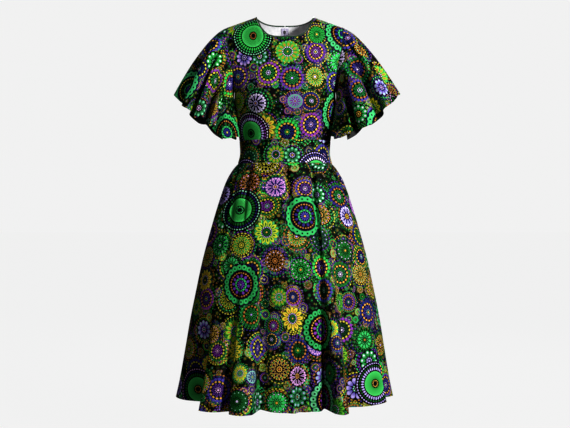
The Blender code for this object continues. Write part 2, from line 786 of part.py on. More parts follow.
def coil_depth(half_thickness):
    """How deep inside the back's outer face a part behind the tapes has its middle."""
    return WALL + TAPE_GAP + TAPE_THICKNESS + SEAM_GAP + half_thickness


def chamfered_ring(centre, across, out, half_width, half_thickness):
    """Eight points of a section with flat sides at its half width and half thickness, and with
    its corners cut off."""
    corner = math.pi / CHAMFERED_SIDES
    turn = corner + np.arange(CHAMFERED_SIDES) * 2 * corner
    width, thickness = half_width / math.cos(corner), half_thickness / math.cos(corner)
    ring = np.outer(np.cos(turn), across) * width + np.outer(np.sin(turn), out) * thickness
    return centre + ring


def build_coil(strip):
    """The closed coil, behind the tapes, from the slider to the bottom stop."""
    rings = []
    for drop in zip_drops(strip, SLIDER_DROP + SLIDER_HALF[1] + SEAM_GAP, ZIP_BOTTOM):
        point, across, down, out = zip_frame(strip, drop)
        rings.append(chamfered_ring(point - out * coil_depth(COIL_HALF[1]), across, out, *COIL_HALF))
    paint(tube_mesh("zip_coil", np.stack(rings)), *NYLON)


def block(name, strip, drop, half, depth):
    """A chamfered block behind the tapes, with its long side down the back."""
    point, across, down, out = zip_frame(strip, drop)
    rings = []
    for along, shrink in ((-1, 0.8), (-0.85, 1), (0.85, 1), (1, 0.8)):
        centre = point - out * depth + down * along * half[1]
        rings.append(chamfered_ring(centre, across, out, half[0] * shrink, half[2] * shrink))
    return tube_mesh(name, np.stack(rings))


def build_slider(strip):
    """The slider: a block behind the tapes, and a lug with a round hole that stands out through
    the opening."""
    point, across, down, out = zip_frame(strip, SLIDER_DROP)
    pivot = point + out * PIVOT_HEIGHT
    slider = block("zip_slider", strip, SLIDER_DROP, SLIDER_HALF, coil_depth(SLIDER_HALF[2]))
    turn = np.radians(np.arange(0, 360, 22.5))
    circle = np.column_stack([np.cos(turn), np.sin(turn)])
    edge = circle * LUG_RADIUS
    stem = circle[:, 1] < -0.9
    edge[stem, 0] = np.sign(np.round(circle[stem, 0], 6)) * LUG_STEM_HALF
    edge[stem, 1] = -PIVOT_HEIGHT - coil_depth(SLIDER_HALF[2])
    loops = []
    hole = circle * LUG_HOLE_RADIUS
    for outline, side in ((edge, 1), (edge, -1), (hole, -1), (hole, 1)):
        loops.append(pivot + outline @ np.stack([down, out]) + across * side * LUG_HALF_WIDTH)
    lug = tube_mesh("zip_lug", np.stack(loops), looped=True)
    merge(slider, lug)
    paint(slider, *METAL)


def merge(obj, other):
    """Joins another solid to the first and removes it."""
    union = obj.modifiers.new("union", "BOOLEAN")
    union.operation = "UNION"
    union.solver = "EXACT"
    union.object = other
    shaped = obj.evaluated_get(bpy.context.evaluated_depsgraph_get())
    mesh = bpy.data.meshes.new_from_object(shaped)
    obj.modifiers.clear()
    obj.data = mesh
    bpy.data.objects.remove(other)


def build_pull(strip):
    """The pull tab, a flat drop-shaped plate with a window whose top bar runs through the lug.
    It lies on the back, and its origin is on the bar's axis."""
    point, across, down, out = zip_frame(strip, SLIDER_DROP)
    pivot = point + out * PIVOT_HEIGHT
    lower, _, _, lower_out = zip_frame(strip, SLIDER_DROP + PULL_LENGTH)
    down = unit(lower + lower_out * (PULL_LIE + PULL_HALF_THICKNESS) - pivot)
    out = np.cross(across, down)
    turn = np.radians(np.arange(-90, 270, 20))
    along = (1 + np.sin(turn)) / 2
    outer_half = PULL_HALF_WIDTHS[0] + (PULL_HALF_WIDTHS[1] - PULL_HALF_WIDTHS[0]) * along
    square = np.sign(np.cos(turn)) * np.abs(np.cos(turn)) ** 0.5
    outer_down = (PULL_LENGTH + PULL_BAR_HALF) * along - PULL_BAR_HALF
    outer = np.column_stack([outer_half * square, outer_down])
    window = np.column_stack([PULL_WINDOW_HALF * square, PULL_BAR_HALF + PULL_WINDOW_LENGTH * along])
    loops = []
    for outline, side in ((outer, 1), (outer, -1), (window, -1), (window, 1)):
        loops.append(outline @ np.stack([across, down]) + out * side * PULL_HALF_THICKNESS)
    pull = tube_mesh("zip_pull", np.stack(loops), looped=True)
    pull.location = pivot
    paint(pull, *METAL)


def build_zip(panels):
    build_tapes(panels)
    strip = centre_strip(panels, "left")
    build_coil(strip)
    build_slider(strip)
    build_pull(strip)
    stop_drop = ZIP_BOTTOM + SEAM_GAP + STOP_HALF[1]
    paint(block("zip_stop", strip, stop_drop, STOP_HALF, coil_depth(STOP_HALF[2])), *METAL)


def main():
    for obj in list(bpy.data.objects):
        bpy.data.objects.remove(obj)
    panels = build_bodice() | build_waistband() | build_skirt()
    build_sleeves()
    build_zip(panels)


main()
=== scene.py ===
"""Looks of the flutter dress: printed cloth panels with their folds and creases, rolled neck edge,
topstitching, and the concealed zip. Metres, +Z up, the front faces -Y. Heights are given as drops
below the neck point. The panels follow the same tables as the solids that they replace."""

import math

import bpy
import numpy as np
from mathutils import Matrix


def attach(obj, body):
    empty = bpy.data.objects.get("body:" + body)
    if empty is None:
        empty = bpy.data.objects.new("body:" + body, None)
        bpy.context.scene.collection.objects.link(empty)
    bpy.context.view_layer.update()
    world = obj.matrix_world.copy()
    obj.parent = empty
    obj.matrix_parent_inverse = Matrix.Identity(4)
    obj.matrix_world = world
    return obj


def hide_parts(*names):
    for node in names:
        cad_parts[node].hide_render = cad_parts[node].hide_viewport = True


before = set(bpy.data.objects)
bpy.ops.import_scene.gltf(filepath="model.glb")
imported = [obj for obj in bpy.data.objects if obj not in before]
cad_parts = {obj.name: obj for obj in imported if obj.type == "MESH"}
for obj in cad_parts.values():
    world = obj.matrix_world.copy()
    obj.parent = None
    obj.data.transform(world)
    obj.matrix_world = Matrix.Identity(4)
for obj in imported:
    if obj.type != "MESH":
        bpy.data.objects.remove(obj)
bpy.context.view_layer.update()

BODY = "dress"
X, Y, Z = 0, 1, 2

# Cloth and seams
CLOTH_THICKNESS = 0.0009
HALF_GAP = 0.00015
SEAM_ROLL_WIDTH = 0.0035
SEAM_ROLL_DEPTH = 0.0007
SEAM_HOLD = 0.014
OVERLOCK_HALF = (0.0017, 0.0011)
OVERLOCK_INSIDE = 0.0009

# Shoulders and neck
NECK_POINT_Z = 0.016
SHOULDER_HALF = 0.180
NECK_HALF = 0.0925
SHOULDER_SLOPE = 0.36
FRONT_NECK_DROP = 0.0735
FRONT_NECK_POWER = 4.2
BACK_NECK_DROP = 0.0180
BACK_NECK_POWER = 3.0
BINDING_WIDTH = 0.0042
BINDING_THICKNESS = 0.0026
BINDING_STRIP = 0.0005
BINDING_WRAP_DEG = 155
BINDING_STEPS = 24

# The flat upper chest: how it levels out across, and the height over which it begins
FLAT_CHEST_POWER = 2.6
FLAT_CHEST_RISE = 0.07

# Stitches: height above the cloth, pitch, and half sizes
STITCH_LIFT = 0.0001
STITCH_PITCH = 0.0034
STITCH_HALF = (0.0011, 0.00026, 0.0002)

# Studio: each soft light's name, place, size and watts, and the point that all of them face
SOFTBOXES = (
    ("key_softbox", (2.0, -2.4, 0.7), 0.5, 165),
    ("fill_softbox", (-1.6, -2.9, 0.5), 1.0, 12),
    ("back_softbox", (0.6, 2.9, 1.2), 1.6, 75),
)
LIT_POINT = (0, 0, -0.5)
FLOOR_HALF = 40.0
FLOOR_Z = -1.4
CAMERA_PLACE = (0, -3.1, -0.600)
SENSOR_MM = 36
LENS_MM = 62.3
VIEW_GAMMA = 0.78

# Heights, as drops below the neck point
SHOULDER_TIP = SHOULDER_SLOPE * (SHOULDER_HALF - NECK_HALF)
UNDERARM = 0.232
BUST = 0.272
BAND_TOP = 0.388
BAND_BOTTOM = 0.459
HEM = 1.1975

# Zip
OPENING_HALF = 0.0010
OPENING_TOP_HALF = 0.0017
OPENING_ROOT = 0.040
SLIT_CLOSED = 0.0003
SLIT_CLOSING = (0.036, 0.048)
ZIP_TOP = 0.0215
ZIP_BOTTOM = 0.600
TAPE_END = 0.615
TAPE_OUTER_X = 0.0115
TAPE_THICKNESS = 0.0005
TAPE_DEPTH = 0.0021
TAPE_GRID = (150, 6)
TAPE_EDGE = 0.0003
SLIDER_DROP = 0.0315
SLIDER_ROOM = 0.0038
TEETH_TOP = 0.0361
TEETH_DEPTH = 0.0042
TOOTH_PITCH = 0.0013
TOOTH_HALF = (0.0014, 0.00045, 0.0008)
RIB_PITCH = 0.0011

# Grid sizes: columns and rows of each cloth panel
NECK_COLUMNS = 26
SHOULDER_COLUMNS = 34
SIDE_ROWS = 40
SKIRT_HEM_STEPS = 4000
SKIRT_ROW_POWER = 1.1
SLEEVE_HEM_STEPS = 3600
ARMHOLE_ROWS = 64
BAND_COLUMNS = 160
BAND_ROWS = 24
SKIRT_FRONT_COLUMNS = 380
SKIRT_BACK_COLUMNS = 200
SKIRT_ROWS = 118
SLEEVE_COLUMNS = 320
SLEEVE_ROWS = 60

# Laying a panel flat: how far apart the net's places are taken, and the rounds at each spacing
FLATTEN_STEPS = (16, 8, 4)
FLATTEN_ROUNDS = 300
FLATTEN_PULL = 1.4
LAY_ROWS = 195


def table(columns, rows):
    """A short table: one array for each named column."""
    return dict(zip(columns.split(), np.array(rows, float).T))


TORSO = table(
    "drop half_width front_depth back_depth",
    [
        (0.000, 0.1800, 0.060, 0.052),
        (0.035, 0.1800, 0.065, 0.064),
        (0.072, 0.1798, 0.073, 0.079),
        (0.105, 0.1750, 0.082, 0.091),
        (0.145, 0.1660, 0.094, 0.099),
        (0.188, 0.1600, 0.108, 0.102),
        (0.232, 0.1585, 0.120, 0.101),
        (0.272, 0.1595, 0.126, 0.099),
        (0.330, 0.1515, 0.113, 0.094),
        (0.388, 0.1430, 0.100, 0.089),
        (0.425, 0.1410, 0.096, 0.087),
        (0.459, 0.1480, 0.102, 0.092),
    ],
)
BUST_HALF_SPACING = 0.082
BUST_FULLNESS = 0.013
BUST_SPREAD = 0.046
ARMHOLE_FRONT = 0.058
ARMHOLE_BACK = 0.062
ARMHOLE_ROUND_SHARE = 0.45
ARMHOLE_EARLY = 0.2
ARMHOLE_EDGE_POWER = 10
SHOULDER_ROUNDING_FRONT = 0.062
SHOULDER_ROUNDING_BACK = 0.052

SKIRT = table(
    "drop half_width front_depth back_depth",
    [
        (0.459, 0.1480, 0.102, 0.092),
        (0.478, 0.1635, 0.109, 0.101),
        (0.515, 0.1840, 0.121, 0.117),
        (0.572, 0.2043, 0.136, 0.138),
        (0.666, 0.2326, 0.152, 0.163),
        (0.760, 0.2577, 0.165, 0.181),
        (0.855, 0.2780, 0.175, 0.195),
        (0.949, 0.2965, 0.183, 0.206),
        (1.043, 0.3115, 0.190, 0.215),
        (1.138, 0.3270, 0.195, 0.223),
        (1.1975, 0.3390, 0.198, 0.228),
    ],
)
FOLDS = table(
    "waist_deg hem_deg top_mm hem_mm onset lift_mm",
    [
        (-90, -90, 0, 4, 0.90, 9),
        (-79, -70, 2, -6, 0.85, 10),
        (-67, -50, -4, -34, 0.88, 10),
        (-59, -43, 2, 48, 0.90, 0),
        (-52, -36, 3, 52, 0.90, 0),
        (-45, -28, -4, 10, 0.88, -2),
        (-39, -25.5, 2, 62, 0.80, 0),
        (-33, -20, 3, 76, 0.80, 0),
        (-27, -15, 1, 58, 0.78, 0),
        (-22, -13, -4, -24, 0.74, 0),
        (-13, -6, 2, -2, 0.62, -3),
        (-6, 4.5, 4, 10, 0.58, -4),
        (-3, 7.5, -10, -10, 0.58, -4),
        (6, 11, 3, -2, 0.60, -3),
        (28, 17.5, 5, 0, 0.62, -2),
        (35, 21.5, -14, -30, 0.50, 0),
        (38, 23.5, 3, 54, 0.66, 0),
        (42, 26.5, 4, 74, 0.66, 0),
        (47, 30, 2, 54, 0.74, 0),
        (51, 32.5, -4, -22, 0.78, 2),
        (62, 46, 3, 2, 0.78, 4),
        (72, 61, 1, 14, 0.84, 10),
        (80, 68, -4, -20, 0.88, 16),
        (90, 90, 0, 0, 0.90, 12),
        (99, 106, 2, -10, 0.88, 7),
        (107, 117, -3, -30, 0.86, 4),
        (114, 121, 3, 42, 0.84, 2),
        (121, 127, 2, 46, 0.84, 0),
        (128, 131, -5, -26, 0.78, 0),
        (136, 139, 3, 4, 0.74, 0),
        (143, 145, 3, 56, 0.72, 0),
        (149, 151, 2, 52, 0.72, 0),
        (155, 154, -6, -24, 0.68, 0),
        (164, 163, 3, 6, 0.70, 0),
        (172, 171, 0, 36, 0.72, 0),
        (180, 180, 0, 8, 0.72, 0),
        (188, 187, 0, 34, 0.72, 0),
        (196, 193, -5, -22, 0.68, 0),
        (203, 199, 2, 44, 0.72, 0),
        (210, 206, 3, 54, 0.72, 0),
        (217, 211, -5, -22, 0.74, 0),
        (226, 222, 3, 10, 0.78, 0),
        (233, 229, 2, 50, 0.82, 0),
        (241, 238, 3, 42, 0.84, 2),
        (248, 242, -4, -30, 0.86, 4),
        (259, 256, 2, -6, 0.86, 7),
        (270, 270, 0, 4, 0.90, 9),
    ],
)
FOLD_FADE_IN = 0.035
PLEAT_END = (0.53, 0.74)
FOLD_GROWTH = 1.25

SLEEVE_TIP_X = {"left": 0.350, "right": 0.338}
SLEEVE_TIP_DROP = 0.2460
SLEEVE_LOW_X = 0.165
SLEEVE_LOW_DROP = 0.361
SLEEVE_HALF_DEPTH = 0.118
SLEEVE_SAG = 0.028
CAP_REACH = (0.034, 0.022)
CAP_FALL = (0.032, 0.014, 0.020)
CAP_SPREAD = 0.034
FLUTES = {
    "right": table(
        "angle_deg hem_mm lift_mm",
        [
            (0, 2, 2),
            (20, 14, 0),
            (42, -8, 3),
            (56, 22, 0),
            (65, 20, 4),
            (72, -30, 6),
            (79, 26, -8),
            (92, 24, 10),
            (98, -26, 8),
            (103, 26, -4),
            (113, 22, 10),
            (118, -24, -4),
            (123, 28, -16),
            (138, 34, -4),
            (155, 44, 9),
            (170, -2, -6),
            (180, -8, 4),
            (196, 4, 12),
            (213, 30, 4),
            (231, -22, 0),
            (246, 26, -10),
            (259, 24, -10),
            (273, -26, 2),
            (288, 26, -8),
            (303, 20, -6),
            (320, -22, 4),
            (340, 12, 0),
            (360, 2, 2),
        ],
    ),
    "left": table(
        "angle_deg hem_mm lift_mm",
        [
            (0, 2, 2),
            (14, 14, 0),
            (29, -24, 14),
            (43, 14, 6),
            (62, 20, 8),
            (72, -34, 8),
            (81, 24, -16),
            (96, 34, -14),
            (109, 24, -6),
            (115, -26, -2),
            (121, 26, -4),
            (136, 34, -5),
            (153, 44, 9),
            (169, 0, -4),
            (180, -8, 4),
            (197, 6, 12),
            (212, 28, 4),
            (229, -24, 0),
            (243, 24, -10),
            (257, 26, -10),
            (271, -24, 2),
            (285, 24, -8),
            (301, 22, -6),
            (322, -20, 4),
            (343, 10, 0),
            (360, 2, 2),
        ],
    ),
}
FLUTE_ONSET = 0.06

# Creases: soft troughs, or ridges where the depth is negative. Each runs from one place to
# another, given as shares across the panel from the wearer's right and down from its top.
CREASES = "across0 down0 across1 down1 width_mm depth_mm"
BODICE_FRONT_CREASES = table(
    CREASES,
    [
        (0.13, 0.30, 0.24, 0.62, 13, 3.4),
        (0.87, 0.28, 0.77, 0.60, 13, 3.4),
        (0.18, 0.70, 0.30, 0.98, 9, 2.0),
        (0.81, 0.66, 0.72, 0.99, 10, 2.9),
        (0.66, 0.78, 0.70, 1.00, 7, 1.7),
        (0.45, 0.86, 0.38, 1.00, 8, 1.2),
        (0.30, 0.12, 0.42, 0.24, 12, 1.2),
        (0.68, 0.14, 0.58, 0.27, 12, 1.2),
        (0.05, 0.70, 0.16, 0.82, 8, 1.4),
        (0.95, 0.72, 0.86, 0.84, 8, 1.4),
    ],
)
BACK_CREASES = table(
    CREASES,
    [
        (0.25, 0.30, 0.45, 0.62, 14, 1.8),
        (0.75, 0.55, 0.50, 0.85, 12, 1.4),
        (0.55, 0.80, 0.48, 1.00, 8, 1.3),
        (0.30, 0.86, 0.36, 1.00, 7, 1.0),
    ],
)
BAND_CREASES = table(
    CREASES,
    [
        (0.10, 0.35, 0.30, 0.62, 6, 0.9),
        (0.44, 0.80, 0.60, 0.55, 6, 0.7),
        (0.90, 0.30, 0.72, 0.66, 6, 1.0),
        (0.66, 0.12, 0.82, 0.22, 5, 0.7),
    ],
)
SKIRT_FRONT_CREASES = table(
    CREASES,
    [
        (0.055, 0.02, 0.060, 0.30, 9, 3.8),
        (0.120, 0.00, 0.130, 0.42, 8, 5.3),
        (0.185, 0.03, 0.205, 0.55, 10, 4.6),
        (0.265, 0.00, 0.280, 0.36, 8, 4.2),
        (0.330, 0.10, 0.345, 0.80, 12, 4.9),
        (0.405, 0.02, 0.415, 0.46, 9, 3.8),
        (0.440, 0.30, 0.452, 0.95, 12, 4.2),
        (0.552, 0.34, 0.575, 1.00, 8, 6.5),
        (0.610, 0.05, 0.630, 0.50, 14, 3.4),
        (0.690, 0.02, 0.700, 0.34, 9, 3.0),
        (0.800, 0.00, 0.815, 0.52, 9, 4.9),
        (0.862, 0.06, 0.872, 0.70, 11, 4.6),
        (0.925, 0.00, 0.935, 0.40, 8, 4.2),
        (0.970, 0.20, 0.975, 0.75, 10, 3.0),
        (0.150, 0.55, 0.155, 1.00, 12, 3.8),
        (0.235, 0.60, 0.240, 1.00, 11, -3.4),
        (0.500, 0.62, 0.505, 1.00, 13, 3.8),
        (0.770, 0.62, 0.775, 1.00, 11, 4.2),
    ],
)
SKIRT_BACK_CREASES = table(
    CREASES,
    [
        (0.10, 0.00, 0.12, 0.40, 9, 4.1),
        (0.24, 0.02, 0.25, 0.60, 10, 4.4),
        (0.38, 0.00, 0.40, 0.34, 8, 3.7),
        (0.55, 0.05, 0.56, 0.72, 12, 4.4),
        (0.70, 0.00, 0.71, 0.45, 9, 4.1),
        (0.86, 0.10, 0.87, 0.62, 10, 3.4),
        (0.32, 0.55, 0.33, 1.00, 12, 3.7),
        (0.78, 0.58, 0.79, 1.00, 12, 3.7),
    ],
)
SLEEVE_CREASES = table(
    CREASES,
    [
        (0.08, 0.00, 0.09, 0.42, 6, 2.6),
        (0.17, 0.00, 0.18, 0.55, 7, 3.5),
        (0.26, 0.02, 0.26, 0.48, 6, 2.6),
        (0.34, 0.00, 0.35, 0.60, 7, 3.8),
        (0.41, 0.00, 0.41, 0.44, 6, 2.9),
        (0.47, 0.02, 0.47, 0.52, 6, 2.9),
        (0.54, 0.00, 0.54, 0.46, 6, 2.9),
        (0.61, 0.00, 0.60, 0.58, 7, 3.5),
        (0.69, 0.02, 0.68, 0.44, 6, 2.6),
        (0.77, 0.00, 0.77, 0.55, 7, 3.5),
        (0.86, 0.00, 0.85, 0.48, 6, 2.6),
        (0.94, 0.02, 0.93, 0.40, 6, 2.2),
    ],
)


# Shape


def smooth(x, y, at):
    """A curve through the points (x, y), read at the values in at. It is a cubic between
    neighbours whose slope at each point is the harmonic mean of the slopes on either side, or
    zero at a peak, so that the curve never overshoots its points."""
    step = np.diff(x)
    rise = np.diff(y) / step
    before, after = rise[:-1], rise[1:]
    total = np.where(before + after == 0, 1, before + after)
    middle_slope = np.where(before * after > 0, 2 * before * after / total, 0)
    slope = np.concatenate([rise[:1], middle_slope, rise[-1:]])
    at = np.clip(at, x[0], x[-1])
    i = np.clip(np.searchsorted(x, at) - 1, 0, len(x) - 2)
    t = (at - x[i]) / step[i]
    from_left = (1 + 2 * t) * (1 - t) ** 2 * y[i] + t * (1 - t) ** 2 * step[i] * slope[i]
    from_right = t**2 * (3 - 2 * t) * y[i + 1] - t**2 * (1 - t) * step[i] * slope[i + 1]
    return from_left + from_right


def ease(value):
    """Rises smoothly from 0 to 1 as value goes from 0 to 1."""
    t = np.clip(value, 0, 1)
    return t * t * (3 - 2 * t)


def quarter_round(value):
    """A quarter of a circle: 0 at 0, upright there, and level at 1 from value 1 on."""
    return np.sqrt(1 - (1 - np.clip(value, 0, 1)) ** 2)


def torso_at(drop, column):
    return smooth(TORSO["drop"], TORSO[column], drop)


def skirt_at(drop, column):
    return smooth(SKIRT["drop"], SKIRT[column], drop)


def neck_angle():
    """The column of the bodice that ends at the neck point."""
    return math.degrees(math.asin(NECK_HALF / SHOULDER_HALF))


def bodice_point(angle, drop, back):
    """A point of the bodice front or back. Across, it is an oval whose ends are the side seam or,
    above the underarm, the armhole edge. Near the top it rounds over to the shoulder seam."""
    across = np.sin(np.radians(angle))
    x = torso_at(drop, "half_width") * across
    centre = torso_at(drop, "back_depth" if back else "front_depth")
    up_the_armhole = (UNDERARM - drop) / (UNDERARM - SHOULDER_TIP)
    near_edge = np.abs(across) ** ARMHOLE_EDGE_POWER
    turn = near_edge * quarter_round(up_the_armhole / ARMHOLE_ROUND_SHARE)
    soft_turn = ease((up_the_armhole + ARMHOLE_EARLY) / (ARMHOLE_ROUND_SHARE + ARMHOLE_EARLY))
    turn = turn + (1 - near_edge) * soft_turn
    edge = (ARMHOLE_BACK if back else ARMHOLE_FRONT) * turn
    oval = np.cos(np.radians(angle))
    flat = 1 - np.abs(across) ** FLAT_CHEST_POWER
    share = ease((UNDERARM - drop) / FLAT_CHEST_RISE)
    depth = edge + (centre - edge) * (oval * (1 - share) + flat * share)
    if not back:
        beside = (np.abs(x) - BUST_HALF_SPACING) / BUST_SPREAD
        below = (drop - BUST) / BUST_SPREAD
        depth = depth + BUST_FULLNESS * np.exp(-(beside**2) - below**2) * oval
    below_seam = drop - SHOULDER_SLOPE * (np.abs(x) - NECK_HALF)
    rounding = SHOULDER_ROUNDING_BACK if back else SHOULDER_ROUNDING_FRONT
    depth = depth * quarter_round(below_seam / rounding)
    y = depth + HALF_GAP if back else -depth - HALF_GAP
    return np.stack([x, y, NECK_POINT_Z - drop], -1)


def top_of_column(angle, back):
    """The drop at which a column of the bodice ends: at the shoulder seam or the neck edge."""
    x = np.abs(SHOULDER_HALF * np.sin(np.radians(angle)))
    share = np.clip(x / NECK_HALF, 0, 1)
    if back:
        neck = BACK_NECK_DROP * (1 - share**BACK_NECK_POWER)
    else:
        neck = FRONT_NECK_DROP * (1 - share**FRONT_NECK_POWER)
    return np.where(x < NECK_HALF, neck, SHOULDER_SLOPE * (x - NECK_HALF))


def bodice_columns(low, high):
    """Column angles from low to high, closest together beside each neck point."""
    neck = neck_angle()
    share = 1 - (1 - np.arange(NECK_COLUMNS + 1) / NECK_COLUMNS) ** 2
    inside = np.degrees(np.arcsin(share * NECK_HALF / SHOULDER_HALF))
    half = np.concatenate([inside[:-1], np.linspace(neck, 90, SHOULDER_COLUMNS + 1)])
    whole = np.concatenate([-half[:0:-1], half])
    return whole[(whole >= low) & (whole <= high)]


def bodice_grid(angles, back):
    """Rows from the shoulder and neck edge down to the waistband: ones that fan out from the
    underarm's level, closest together where the armhole turns, and level ones below it."""
    turn = (1 - np.cos(np.pi * np.arange(1, ARMHOLE_ROWS + 1) / ARMHOLE_ROWS)) / 2
    top = top_of_column(angles, back)
    drops = [UNDERARM + (top - UNDERARM) * share for share in turn[::-1]]
    side_drops = np.linspace(UNDERARM, BAND_TOP - HALF_GAP, SIDE_ROWS + 1)
    drops += [np.full(len(angles), d) for d in side_drops]
    return np.stack([bodice_point(angles, drop, back) for drop in drops])


def ellipse_point(angle, half, front, back):
    """A point of the level oval round the body, and the oval's outward direction there."""
    across, ahead = np.sin(np.radians(angle)), np.cos(np.radians(angle))
    depth = np.where(ahead > 0, front, back)
    point = np.stack([half * across, -depth * ahead], -1)
    out = np.stack([across / half, -ahead / depth], -1)
    return point, out / np.linalg.norm(out, axis=-1, keepdims=True)


def fold_value(column, place):
    return smooth(np.arange(len(FOLDS[column]), dtype=float), FOLDS[column], place)


def skirt_point(place, share):
    """A point of the skirt. place runs along the fold table and share from the waist seam to the
    hem. Each fold stands out along the oval's outward direction, and grows from its onset."""
    drop = BAND_BOTTOM + (HEM - BAND_BOTTOM) * share
    half = skirt_at(drop, "half_width")
    first, last = SKIRT["half_width"][[0, -1]]
    spread = np.sqrt(np.clip((half - first) / (last - first), 0, 1))
    angle = fold_value("waist_deg", place) * (1 - spread) + fold_value("hem_deg", place) * spread
    oval_depths = skirt_at(drop, "front_depth"), skirt_at(drop, "back_depth")
    point, out = ellipse_point(angle, half, *oval_depths)
    onset = fold_value("onset", place)
    hem_part = np.clip((drop - onset) / (HEM - onset), 0, 1) ** FOLD_GROWTH
    pleat_part = ease((drop - BAND_BOTTOM) / FOLD_FADE_IN)
    pleat_part = pleat_part * (1 - ease((drop - PLEAT_END[0]) / (PLEAT_END[1] - PLEAT_END[0])))
    stand = fold_value("top_mm", place) * pleat_part + fold_value("hem_mm", place) * hem_part
    plan = point + out * (stand / 1000)[..., None]
    z = NECK_POINT_Z - drop + fold_value("lift_mm", place) / 1000 * share
    return np.concatenate([plan, z[..., None]], -1)


def skirt_grid(first_deg, last_deg, columns):
    """Rows from the waist seam to the hem, between two seams named by their waist angle. The
    columns are equal steps of cloth along the hem."""
    steps = np.linspace(0, len(FOLDS["hem_deg"]) - 1, SKIRT_HEM_STEPS + 1)
    hem = skirt_point(steps, 1.0)
    length = np.concatenate([[0], np.cumsum(np.linalg.norm(np.diff(hem, axis=0), axis=1))])
    rows = np.arange(len(FOLDS["waist_deg"]))
    ends = [np.interp(degrees, FOLDS["waist_deg"], rows) for degrees in (first_deg, last_deg)]
    low, high = np.interp(ends, steps, length)
    place = np.interp(np.linspace(low, high, columns + 1), length, steps)
    place[[0, -1]] = ends
    shares = np.linspace(0, 1, SKIRT_ROWS + 1) ** SKIRT_ROW_POWER
    points = np.stack([skirt_point(place, share) for share in shares])
    points[0, :, Z] -= HALF_GAP
    return points


def band_grid(angles):
    """Level rows of the waistband from its top seam to its bottom seam."""
    rows = []
    for drop in np.linspace(BAND_TOP + HALF_GAP, BAND_BOTTOM - HALF_GAP, BAND_ROWS + 1):
        sizes = [torso_at(drop, c) for c in ("half_width", "front_depth", "back_depth")]
        point, _ = ellipse_point(angles, *sizes)
        rows.append(np.column_stack([point, np.full(len(angles), NECK_POINT_Z - drop)]))
    return np.stack(rows)


def sleeve_hem(side, angle):
    """The sleeve's hem, before it sags, at each angle from its outer tip: an oval from the tip
    to its lowest point, with flutes that stand out in its own plane."""
    tip = np.array([SLEEVE_TIP_X[side], 0, NECK_POINT_Z - SLEEVE_TIP_DROP])
    low = np.array([SLEEVE_LOW_X, 0, NECK_POINT_Z - SLEEVE_LOW_DROP])
    centre, long_half = (tip + low) / 2, (tip - low) / 2
    length_half = np.linalg.norm(long_half)
    cos, sin = np.cos(np.radians(angle))[:, None], np.sin(np.radians(angle))[:, None]
    ahead = np.array([0, -1, 0])
    out = unit(cos / length_half * (long_half / length_half) + sin / SLEEVE_HALF_DEPTH * ahead)
    flutes = FLUTES[side]
    out = out * smooth(flutes["angle_deg"], flutes["hem_mm"], angle % 360)[:, None] / 1000
    return centre + cos * long_half + sin * SLEEVE_HALF_DEPTH * ahead + out, out


def armhole_ring(count):
    """The wearer's left armhole edge, from the underarm up the front, over the shoulder and
    down the back, in count + 1 steps that are even in the turn of the armhole."""
    half = count // 2
    turn = (1 - np.cos(np.pi * np.linspace(0, 1, half + 1))) / 2
    drops = UNDERARM + (SHOULDER_TIP - UNDERARM) * turn
    front, back = (bodice_point(np.full(half + 1, 90.0), drops, side) for side in (False, True))
    ring = np.concatenate([front, back[-2::-1]])
    ring[[0, half, -1], Y] = 0
    ring[:, X] += 2 * HALF_GAP
    return ring


def sleeve_grid(side):
    """A flutter sleeve. Each column is a curve from its point of the armhole, out over the arm,
    to its point of the hem. Columns are equal steps of cloth along the hem on each half, and
    the first and the last lie at the underarm."""
    half = SLEEVE_COLUMNS // 2
    fine = np.linspace(180, -180, SLEEVE_HEM_STEPS + 1)
    hem, _ = sleeve_hem(side, fine)
    length = np.concatenate([[0], np.cumsum(np.linalg.norm(np.diff(hem, axis=0), axis=1))])
    middle = length[SLEEVE_HEM_STEPS // 2]
    first_half = np.linspace(0, middle, half + 1)
    lengths = np.concatenate([first_half, np.linspace(middle, length[-1], half + 1)[1:]])
    angle = np.interp(lengths, length, fine)
    hem, out = sleeve_hem(side, angle)
    cos, sin = np.cos(np.radians(angle)), np.sin(np.radians(angle))
    hem[:, Z] -= SLEEVE_SAG * (1 - cos**4)
    hem[:, Z] += smooth(FLUTES[side]["angle_deg"], FLUTES[side]["lift_mm"], angle % 360) / 1000
    start = armhole_ring(SLEEVE_COLUMNS)
    reach = CAP_REACH[0] + CAP_REACH[1] * cos
    fall = CAP_FALL[0] - CAP_FALL[1] * cos + CAP_FALL[2] * sin**2
    bend = start + np.stack([reach, -CAP_SPREAD * sin, -fall], -1)
    rows = []
    for share in np.linspace(0, 1, SLEEVE_ROWS + 1) ** 1.1:
        flute = np.clip((share - FLUTE_ONSET) / (1 - FLUTE_ONSET), 0, 1) - share**2
        curve = (1 - share) ** 2 * start + 2 * share * (1 - share) * bend + share**2 * hem
        rows.append(curve + flute * out)
    return np.stack(rows)


def norm(vectors):
    return np.linalg.norm(vectors, axis=-1)


def unit(vectors):
    return vectors / np.maximum(norm(vectors), 1e-12)[..., None]


def grid_normals(points, closed, turn):
    """Unit normals of a grid of points, from the differences between neighbours. turn is 1 or -1
    and makes them point out of the garment. A closed grid's last column repeats its first."""
    along = np.gradient(points, axis=1)
    if closed:
        along[:, 0] = along[:, -1] = points[:, 1] - points[:, -2]
    return turn * unit(np.cross(along, np.gradient(points, axis=0)))


def spans(points):
    """Cloth lengths: along each row from its first column, and down each column from its top."""
    across = np.linalg.norm(np.diff(points, axis=1), axis=-1)
    down = np.linalg.norm(np.diff(points, axis=0), axis=-1)
    row = np.concatenate([np.zeros((len(points), 1)), np.cumsum(across, axis=1)], axis=1)
    column = np.concatenate([np.zeros((1, points.shape[1])), np.cumsum(down, axis=0)])
    return row, column


